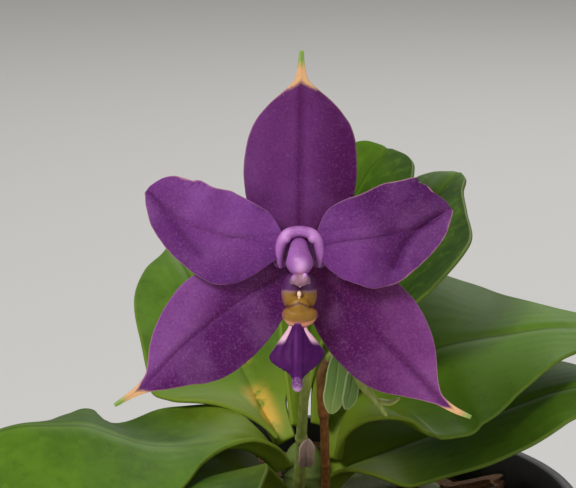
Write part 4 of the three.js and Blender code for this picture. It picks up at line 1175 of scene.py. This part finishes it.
def tepal_relief(folds, arch, pucker):
    """The skin of one tepal: arched to the sides, grooved along its middle, veined, puckered and folded."""

    def relief(p, d, s, half, length):
        side = s * half
        open_part = np.clip(half / 5, 0, 1)
        height = -arch * np.abs(s) ** 2.2 * half * open_part
        groove = TEPAL_GROOVE_DEPTH * np.exp(-((side / TEPAL_GROOVE_WIDTH) ** 2))
        height -= groove * open_part * np.clip(d / 4, 0, 1)
        height += TEPAL_VEIN_RISE * np.cos(s * 30) * open_part * (1 - s**2)
        crimp = np.sin(d * 2.4 + 4 * np.sin(d * 0.31) + np.sign(s) * 1.3)
        height += pucker * crimp * np.clip((np.abs(s) - 0.55) / 0.45, 0, 1) ** 2 * open_part
        height += TEPAL_WARP * np.sin(p[:, 0] * 0.8 + 1.2) * np.sin(p[:, 1] * 0.67) * open_part
        folded = np.zeros_like(d)
        for fold in folds:
            near, past = fold_of(p[:, 0], p[:, 1], fold)
            height -= fold["depth"] * near * open_part
            height += np.clip(fold["flip"] * past, 0, 1.6)
            # its nearness is kept for the painted shade along the crease
            folded = np.maximum(folded, near * min(1, fold["depth"] * 3))
        return height, folded

    return relief


def tepal_paint(body, deep, light, spike, stripe):
    """A tepal's colours, how far its cream spike reaches, and how dark the stripe along its middle is."""

    def paint(place):
        side, across, left = place.own("side"), place.own("across"), place.own("left")
        edge, fold, shade = place.own("edge"), place.own("fold"), place.own("shade")
        clouds = place.speckle(130, 3.0, 0.55)
        grain = place.speckle(2400, 3.0, 0.65)
        beads = place.cells(3300)
        glint = place.cells(1300)
        lucky = place.cells(1300, output=1).split()[0]
        veins = (across * 21 + clouds * 2.5).math("SINE")
        middle = abs(side).fade(0.1, 1.5)
        # Painted glints: a few tiny bright specks, as if single cells caught the light; they are also less
        # rough.
        painted_sparkle = glint.fade(0.06, 0.18) * lucky.ease(0.965, 0.98)
        rim = edge.fade(0.02, 0.3) * left.ease(24.0, 6.0, 0.25, 1.0)
        shoulder = left + (1 - abs(across)).ease(0.0, 1.0) * 1.4 + grain * 1.2
        colour = painted(place, body, [
            # painted shade over the tepal's face
            (shade.ease(0.0, 1.0), deep),
            (clouds.ease(0.42, 0.72) * 0.3, light),
            (clouds.ease(0.46, 0.28) * 0.3, deep),
            (veins.ease(0.35, 1.0) * 0.16, deep),
            (middle * stripe, deep),
            # painted shade in the folds' creases
            (fold * 0.6, deep),
            (grain.ease(0.48, 0.72) * 0.3, light),
            (grain.ease(0.47, 0.3) * 0.3, deep),
            (beads.fade(0.1, 0.5) * 0.06, light),
            # painted glints
            (painted_sparkle * 0.5, (206, 160, 214)),
            (rim * 0.6, (214, 150, 158)),
            (shoulder.ease(spike, spike - 1.6), (236, 182, 128)),
            ((left + grain * 1.5).ease(spike * 0.55, spike * 0.55 - 2.6), (140, 176, 84)),
        ])
        rough = 0.48 - painted_sparkle * 0.25 + grain * 0.12
        height = beads * -0.5 + grain * 0.6 + veins * 0.12
        return colour, rough, height

    return paint


def tepal_back_paint(place):
    side, left, across = place.own("side"), place.own("left"), place.own("across")
    clouds = place.speckle(150, 3.0, 0.55)
    grain = place.speckle(2200)
    veins = (across * 21 + clouds * 2.5).math("SINE")
    keel = abs(side).fade(0.2, 1.6)
    colour = painted(place, (128, 84, 138), [
        (clouds.ease(0.35, 0.7) * 0.6, (158, 118, 162)),
        (veins.ease(0.3, 1.0) * 0.25, (96, 48, 108)),
        (keel * 0.7, (150, 156, 104)),
        (left.ease(9.0, 3.0), (166, 184, 108)),
        (grain.ease(0.55, 0.8) * 0.35, (206, 180, 206)),
    ])
    return colour, 0.55 + grain * 0.1, grain * 0.6 + veins * 0.2


def tepal_rim_paint(place):
    grain = place.speckle(2600, 3.0, 0.5)
    left = place.own("left")
    colour = painted(place, (150, 96, 152), [
        (left.ease(16.0, 7.0), (220, 164, 146)),
        (left.ease(7.0, 3.5), (196, 190, 110)),
        (grain.ease(0.5, 0.75) * 0.5, (226, 196, 214)),
    ])
    return colour, 0.5 + grain * 0.1, grain


tepal_back = finish("tepal_back_skin", tepal_back_paint, relief=0.05, gloss=0.35)
tepal_rim = finish("tepal_rim", tepal_rim_paint, relief=0.03, gloss=0.35)
PURPLE_SHEEN = (0.9, 0.5, 0.95, 1)
PURPLES = {
    "dorsal_sepal": ((98, 42, 108), (68, 16, 74), (126, 70, 136), 8.2, 0.7),
    "petal_left": ((120, 58, 136), (80, 26, 94), (156, 98, 170), -9.0, 0.35),
    "petal_right": ((108, 48, 122), (70, 20, 82), (146, 88, 158), -9.0, 0.35),
    "lateral_sepal_left": ((122, 60, 134), (76, 18, 86), (150, 94, 158), 7.4, 0.7),
    "lateral_sepal_right": ((122, 58, 126), (70, 12, 74), (148, 90, 150), 6.4, 0.7),
}
ARCHES = {
    "dorsal_sepal": 0.16, "petal_left": 0.05, "petal_right": 0.04, "lateral_sepal_left": 0.1,
    "lateral_sepal_right": 0.1,
}
PUCKER = {"petal": 0.14, "sepal": 0.05}


def climb(value, low, high, most=1.0):
    """From 0 to most as value goes from low to high."""
    return np.clip((value - low) / (high - low), 0, most)


# Painted shade over each tepal's face, from 0 to 1 in the bloom's frame: one side or end of each tepal is
# painted darker where it turns from the light.
SHADES = {
    "dorsal_sepal": lambda u, v, s: s * 1.1 + 0.1 - climb(v, 20, 34) * 0.4,
    "petal_left": lambda u, v, s: np.minimum(0.25 - s * 0.3 + climb(-u, 19, 27, 0.3), 0.6),
    "petal_right": lambda u, v, s: np.minimum(
        0.45 - s * 0.35 - climb(-u, -12, -3, 0.4) + climb(u, 12, 20, 0.4), 0.9
    ),
    "lateral_sepal_left": lambda u, v, s: 0.5 - s * 0.8 + climb(u, -20, -6) - climb(-u, 20, 28) * 0.6,
    "lateral_sepal_right": lambda u, v, s: 1.15 - climb(u, 6, 24) * 1.1,
}
for name, spec in TEPALS.items():
    pucker = PUCKER["petal" if name.startswith("petal") else "sepal"]
    relief = tepal_relief(FOLDS.get(name, []), ARCHES[name], pucker)
    tepal = grow_blade(spec, TEPAL_ROWS, TEPAL_COLS, TEPAL_THICKNESS, TEPAL_BROAD, relief, BLOOM)
    u, v = moved(points_of(tepal) / MM, BLOOM.inverted()).T[:2]
    shade = SHADES[name](u, v, kept_number(tepal, "across"))
    keep_number(tepal, "shade", np.clip(shade, 0, 1))
    paint = tepal_paint(*PURPLES[name])
    front = finish(
        name + "_skin", paint, relief=0.06, gloss=0.22, Subsurface_Weight=0.04,
        Specular_Tint=PURPLE_SHEEN,
    )
    name_piece(name + "_blade", [front, tepal_back, tepal_rim], name)

# Column and anther cap. The fused stamen and style: a short arched club with two shoulders at its end. It
# stands in a raised lilac horseshoe, and the pale two-humped cap on its end covers the pollen.
COLUMN_SPINE = [[-0.1, 3.0, 1.2], [-0.15, 3.0, 3.2], [-0.2, 2.2, 4.9], [-0.1, 0.4, 5.9], [0, -1.9, 6.35]]
COLUMN_RADII = [(0, 1.6), (0.3, 1.6), (0.55, 2.0), (0.72, 2.4), (0.88, 2.2), (1, 1.75)]
COLLAR_SPINE = [
    [-3.3, -1.0, 2.2], [-3.6, 1.2, 2.6], [-3.3, 3.4, 2.9], [-2.2, 5.1, 3.0], [-0.2, 5.65, 2.9],
    [1.9, 5.2, 3.0], [3.2, 3.6, 2.9], [3.5, 1.4, 2.6], [3.3, -0.8, 2.2],
]
COLLAR_RADII = [(0, 0.3), (0.15, 0.8), (0.33, 1.05), (0.5, 1.0), (0.67, 1.05), (0.85, 0.8), (1, 0.3)]
SIDES = (-1, 1)
FLESH = {"Subsurface_Weight": 0.08}


def add_lump(radii, at, turn=(0, 0, 0)):
    """A rounded lump, in millimetres in the bloom's own frame: X right, Y up, Z towards the viewer."""
    bpy.ops.object.select_all(action="DESELECT")
    bpy.ops.mesh.primitive_uv_sphere_add(segments=40, ring_count=26, radius=1)
    made = bpy.context.object
    x, y, z = (math.radians(angle) for angle in turn)
    turned = Matrix.Rotation(x, 3, "X") @ Matrix.Rotation(y, 3, "Y") @ Matrix.Rotation(z, 3, "Z")
    set_points(made, (points_of(made) * np.array(radii)) @ np.array(turned).T + np.array(at))
    return made


def add_stalk(spine, radii):
    """A stalk in the bloom's frame, in millimetres."""
    made = draw_stalk(spine, radii, sides=24, rows=60)
    set_points(made, points_of(made) / MM)
    return made


def grow_together(parts, voxel, smooth):
    """Fuses lumps and stalks into one grown body, in metres in the object's frame."""
    join_pieces(parts)
    whole = bpy.context.object
    skin = whole.modifiers.new("skin", "REMESH")
    skin.mode = "VOXEL"
    skin.voxel_size = voxel
    ease = whole.modifiers.new("ease", "SMOOTH")
    ease.factor = 0.5
    ease.iterations = smooth
    apply_all(whole)
    set_points(whole, moved(points_of(whole), BLOOM) * MM)
    bpy.ops.object.shade_smooth()


def bloom_place(place):
    """Right, up and towards the viewer, in millimetres in the bloom's frame."""
    back = BLOOM.inverted()
    local = place.stretched((1000, 1000, 1000), tuple(back.to_euler()), tuple(back.translation))
    return local.split()


def column_paint(place):
    u, v, w = bloom_place(place)
    clouds = place.speckle(420)
    grain = place.speckle(3000)
    # Painted highlight on the front of the club, and painted shade that darkens it deeper back, over the foot
    # lump behind it.
    painted_highlight = abs(u - 0.1).fade(0.1, 1.5) * w.ease(5.6, 7.0) * v.ease(2.0, 0.0)
    colour = painted(place, (156, 88, 168), [
        (clouds.ease(0.4, 0.7) * 0.5, (186, 116, 192)),
        (w.ease(5.2, 2.6) * 0.85, (96, 34, 108)),
        (painted_highlight * 0.85, (240, 176, 238)),
        (v.ease(-1.6, -2.3) * 0.5, (214, 160, 196)),
        (grain.ease(0.5, 0.75) * 0.35, (206, 154, 212)),
    ])
    return colour, 0.36 + grain * 0.16, grain * 0.7 + clouds * 0.3


def collar_paint(place):
    u, v, w = bloom_place(place)
    clouds = place.speckle(380)
    grain = place.speckle(3000)
    # Painted highlights on the front of the horseshoe and its two knuckles, and painted shade on its deeper
    # inner side.
    knuckle_highlight = abs(abs(u + 0.1) - 2.5).fade(0.3, 1.4) * v.ease(3.2, 4.4)
    colour = painted(place, (152, 76, 162), [
        (clouds.ease(0.4, 0.7) * 0.5, (178, 102, 186)),
        (w.ease(2.7, 3.9) * 0.3 + knuckle_highlight * 0.5, (218, 148, 218)),
        (w.ease(2.6, 1.4) * 0.8, (98, 34, 108)),
        (grain.ease(0.5, 0.75) * 0.35, (216, 156, 218)),
    ])
    return colour, 0.4 + grain * 0.14, grain * 0.6 + clouds * 0.4


def cap_paint(place):
    u, v = bloom_place(place)[:2]
    clouds = place.speckle(500)
    grain = place.speckle(2800)
    colour = painted(place, (158, 108, 130), [
        (clouds.ease(0.4, 0.7) * 0.6, (184, 134, 156)),
        (v.ease(-3.2, -3.9) * 0.7, (226, 196, 204)),
        (abs(u + 0.1).ease(0.25, 0.0) * 0.35, (150, 104, 146)),
        (grain.ease(0.5, 0.75) * 0.35, (206, 178, 196)),
    ])
    return colour, 0.4 + grain * 0.12, grain * 0.6 + clouds * 0.4


club = add_stalk(COLUMN_SPINE, COLUMN_RADII)
# The foot lump fills the gap between club and horseshoe behind; the column's painted shade darkens it.
foot = add_lump((3.4, 3.7, 0.9), (0, 1.9, 1.2))
parts = [club, foot]
for side in SIDES:
    parts.append(add_lump((0.5, 0.7, 0.45), (-0.1 + 0.95 * side, -1.9 + 0.12 * side, 8.0)))
    parts.append(add_lump((1.3, 1.1, 0.5), (3.4 * side, 0.0, 0.5)))
grow_together(parts, voxel=0.13, smooth=5)
lilac = finish("column_skin", column_paint, relief=0.05, gloss=0.5, **FLESH)
name_piece("column_club", [lilac], "column")

collar = add_stalk(COLLAR_SPINE, COLLAR_RADII)
knuckles = [add_lump((0.95, 0.9, 0.85), (2.4 * side - 0.1, 4.4, 3.4)) for side in SIDES]
grow_together([collar] + knuckles, voxel=0.13, smooth=4)
horseshoe = finish("collar_skin", collar_paint, relief=0.05, gloss=0.45, **FLESH)
name_piece("column_collar", [horseshoe], "column")

dome = add_lump((1.7, 1.15, 1.35), (0.05, -2.35, 7.1), (15, 0, 0))
parts = [dome]
for side in SIDES:
    parts.append(add_lump((0.75, 0.8, 0.75), (0.05 + 0.72 * side, -2.15, 7.75), (15, 0, 0)))
    parts.append(add_lump((0.22, 0.5, 0.3), (0.05 + 1.5 * side, -2.8, 6.9), (10, 0, side * 12)))
beak = add_lump((0.28, 0.5, 0.4), (-0.05, -3.3, 7.4), (30, 0, 0))
grow_together(parts + [beak], voxel=0.11, smooth=4)
cap_skin = finish("anther_cap_skin", cap_paint, relief=0.04, gloss=0.45, **FLESH)
name_piece("pollen_cap", [cap_skin], "anther_cap")

# Lip. One grown piece: two side lobes that stand up and meet in front, purple above and yellow below, with
# a white tooth between them; a swollen yellow saddle; and a keeled purple middle lobe with a fleshy knob.
SIDE_LOBE = (1.6, 3.3, 2.0)
SADDLE = (3.15, 1.95, 2.2)
LIP_ROOT = [[0, -2.0, 1.6], [0, -3.6, 3.2], [0, -6.4, 4.2], [-0.1, -8.6, 4.8], [-0.3, -10.6, 6]]
LIP_HEM = [
    [-2.9, -8.4, 5.0], [-2.7, -9.4, 5.6], [-1.5, -10.3, 6.2], [0, -10.5, 6.4], [1.5, -10.2, 6.2],
    [2.6, -9.4, 5.6], [2.9, -8.4, 5.0],
]
KNOB_NECK = [[-0.45, -17.6, 9.0], [-0.5, -19.0, 9.3], [-0.5, -20.4, 9.4]]
MIDDLE_LOBE_GRID = (60, 32)
MIDDLE_LOBE_THICKNESS = (1.9, 0.6)
MIDDLE_LOBE = {
    "spine": [
        [-0.3, -9.6, 5.2], [-0.45, -11.8, 6.8], [-0.45, -14.2, 8], [-0.45, -16.8, 8.8], [-0.5, -19.6, 9.2],
    ],
    "facing": [[0, [0, 0.35, 1]], [1, [0, 0.2, 1]]],
    "left": [
        [0, 1.1], [1.6, 1.5], [3.4, 3.0], [4.8, 4.2], [6.0, 4.85], [7.2, 4.5], [9.0, 3.1], [10.2, 1.6],
        [11.4, 0.7],
    ],
    "right": [
        [0, 1.1], [1.6, 1.5], [3.4, 2.9], [5.2, 4.2], [7.0, 5.1], [7.9, 4.7], [9.2, 3.2], [10.2, 1.6],
        [11.4, 0.7],
    ],
    "lift": [[0, -30], [4, -20], [11, -12]],
    "cup": [[0, 0], [11, -0.1]],
}


def middle_lobe_relief(p, d, s, half, length):
    keel = 0.14 * np.exp(-((s * half / 0.3) ** 2)) * np.clip(d / 3, 0, 1)
    ribs = 0.5 * np.exp(-(((np.abs(s) - 0.86) / 0.16) ** 2)) * np.clip(1 - d / 5.5, 0, 1)
    teeth = np.clip((np.abs(s) - 0.8) / 0.2, 0, 1) * np.clip((d - 6.5) / 1.5, 0, 1)
    ragged = 0.22 * np.sin(d * 9 + 5 * np.sin(d * 2.3) + s * 2)
    flutes = 0.05 * np.cos(s * 16) * (1 - s**2)
    return keel + ribs + teeth * ragged + flutes, np.zeros_like(d)


def lobe_paint(place):
    u, v = bloom_place(place)[:2]
    clouds = place.speckle(600)
    grain = place.speckle(2800)
    height = v + clouds * 0.5
    # Painted shade along the crease where the side lobes meet the saddle.
    roof_crease_shade = abs(v + 6.45 + abs(u + 0.2) * 0.42)
    colour = painted(place, (144, 100, 22), [
        (clouds.ease(0.4, 0.7) * 0.5, (166, 126, 34)),
        (abs(u).ease(2.2, 3.1) * 0.6, (150, 84, 100)),
        (height.ease(-4.85, -4.2), (156, 116, 122)),
        (height.ease(-4.5, -3.9), (84, 30, 92)),
        (roof_crease_shade.fade(0.1, 0.36) * 0.85, (92, 44, 34)),
        (v.ease(-9.2, -10.3) * 0.8, (206, 128, 110)),
        (grain.ease(0.55, 0.8) * 0.25, (196, 156, 96)),
    ])
    return colour, 0.42 + grain * 0.14, grain * 0.6 + clouds * 0.4


def middle_lobe_paint(place):
    side, across, reach = place.own("side"), place.own("across"), place.own("reach")
    edge = place.own("edge")
    clouds = place.speckle(500)
    grain = place.speckle(2600)
    pale = abs(across).ease(0.45, 0.75) * reach.ease(4.8, 3.4)
    colour = painted(place, (66, 14, 78), [
        (clouds.ease(0.4, 0.7) * 0.4, (90, 32, 102)),
        ((across * 14).math("SINE").ease(0.4, 1.0) * 0.3, (48, 10, 62)),
        (abs(side).fade(0.1, 0.6) * 0.2, (104, 42, 120)),
        (pale, (238, 188, 210)),
        (edge.fade(0.02, 0.25) * reach.ease(6.4, 4.8) * 0.7, (222, 198, 214)),
        (reach.ease(1.6, 0.4), (226, 172, 158)),
        (grain.ease(0.55, 0.8) * 0.3, (124, 64, 136)),
    ])
    return colour, 0.4 + grain * 0.15, grain * 0.6 + clouds * 0.3


def knob_paint(place):
    v = bloom_place(place)[1]
    grain = place.speckle(2600)
    colour = painted(place, (112, 52, 126), [
        (v.ease(-20.3, -21.4), (214, 160, 214)),
        (grain.ease(0.5, 0.75) * 0.35, (226, 190, 228)),
    ])
    return colour, 0.38 + grain * 0.14, grain


def tooth_paint(place):
    grain = place.speckle(2200)
    colour = painted(place, (244, 206, 186), [
        (grain.ease(0.4, 0.7) * 0.5, (250, 232, 214)),
    ])
    return colour, 0.4 + grain * 0.1, grain


lobes = [add_lump(SIDE_LOBE, (-0.15 + side * 1.45, -4.7, 4.0), (18, side * -12, side * 5)) for side in SIDES]
saddle = add_lump(SADDLE, (-0.05, -8.75, 4.7))
peak = add_lump((1.9, 1.9, 1.4), (-0.15, -7.3, 5.6), (0, 0, 45))
root = add_stalk(LIP_ROOT, [(0, 1), (0.3, 1.3), (0.7, 1.9), (1, 1.3)])
hem = add_stalk(LIP_HEM, [(0, 0.12), (0.5, 0.3), (1, 0.12)])
grow_together(lobes + [saddle, peak, root, hem], voxel=0.13, smooth=3)
lobe_skin = finish("side_lobe_skin", lobe_paint, relief=0.05, gloss=0.45, **FLESH)
name_piece("lip_side_lobes", [lobe_skin], "lip")

tooth = add_lump((0.38, 0.55, 0.4), (-0.15, -4.95, 6.35), (-10, 0, 0))
thread = add_stalk([[-0.15, -5.2, 6.2], [-0.2, -6.0, 6.2], [-0.25, -6.9, 6.3]], [(0, 0.24), (1, 0.16)])
grow_together([tooth, thread], voxel=0.07, smooth=2)
tooth_skin = finish("callus_tooth_skin", tooth_paint, relief=0.03, gloss=0.45)
name_piece("lip_callus_tooth", [tooth_skin], "lip")

grow_blade(MIDDLE_LOBE, *MIDDLE_LOBE_GRID, MIDDLE_LOBE_THICKNESS, TEPAL_BROAD, middle_lobe_relief, BLOOM)
middle_skin = finish(
    "middle_lobe_skin", middle_lobe_paint, relief=0.05, gloss=0.2, Specular_Tint=PURPLE_SHEEN
)
name_piece("lip_middle_lobe", [middle_skin] * 3, "lip")

ball = add_lump((0.95, 1.25, 1.0), (-0.5, -20.35, 9.3))
neck = add_stalk(KNOB_NECK, [(0, 0.5), (0.5, 0.85), (1, 0.95)])
grow_together([ball, neck], voxel=0.12, smooth=4)
knob_skin = finish("knob_skin", knob_paint, relief=0.04, gloss=0.5, **FLESH)
name_piece("lip_knob", [knob_skin], "lip")

# Stage and camera. A plain pale floor, soft studio light from large panels, and the photograph's viewpoint.
bpy.ops.object.select_all(action="DESELECT")
bpy.ops.mesh.primitive_plane_add(size=6)
floor = bpy.context.object
floor.name = "floor"
pale_floor = bpy.data.materials.new("pale_floor")
pale_floor.use_nodes = True
floor_sockets = pale_floor.node_tree.nodes["Principled BSDF"].inputs
floor_sockets["Base Color"].default_value = (0.8, 0.79, 0.77, 1)
floor_sockets["Roughness"].default_value = 0.9
floor.data.materials.append(pale_floor)

PANELS = [
    ("key", (-0.55, -0.75, 0.95), 0.4, 10.5),
    ("fill", (0.85, -0.7, 0.4), 0.8, 1.7),
    ("back", (0.3, 0.9, 0.9), 0.7, 4.0),
]
MIDDLE = Vector((0, 0, 0.12))
for name, at, size, power in PANELS:
    bpy.ops.object.light_add(type="AREA", location=at)
    panel = bpy.context.object
    panel.name = name
    panel.data.size = size
    panel.data.energy = power
    panel.rotation_euler = (MIDDLE - Vector(at)).to_track_quat("-Z", "Y").to_euler()

world = bpy.data.worlds.new("studio")
bpy.context.scene.world = world
world.use_nodes = True
sky = world.node_tree.nodes["Background"].inputs
sky["Color"].default_value = (0.9, 0.88, 0.84, 1)
sky["Strength"].default_value = 0.27

bpy.context.scene.view_settings.view_transform = "Standard"

EYE_HEIGHT = math.radians(13)
EYE_DISTANCE = 0.48
LOOK_AT = Vector((0, -0.04429, 0.15307))
bpy.ops.object.camera_add()
camera = bpy.context.object
camera.name = "photograph_view"
camera.location = LOOK_AT + Vector((0, -math.cos(EYE_HEIGHT), math.sin(EYE_HEIGHT))) * EYE_DISTANCE
camera.rotation_euler = (math.pi / 2 - EYE_HEIGHT, 0, 0)
camera.data.sensor_width = 36
camera.data.lens = 171.43
bpy.context.scene.camera = camera
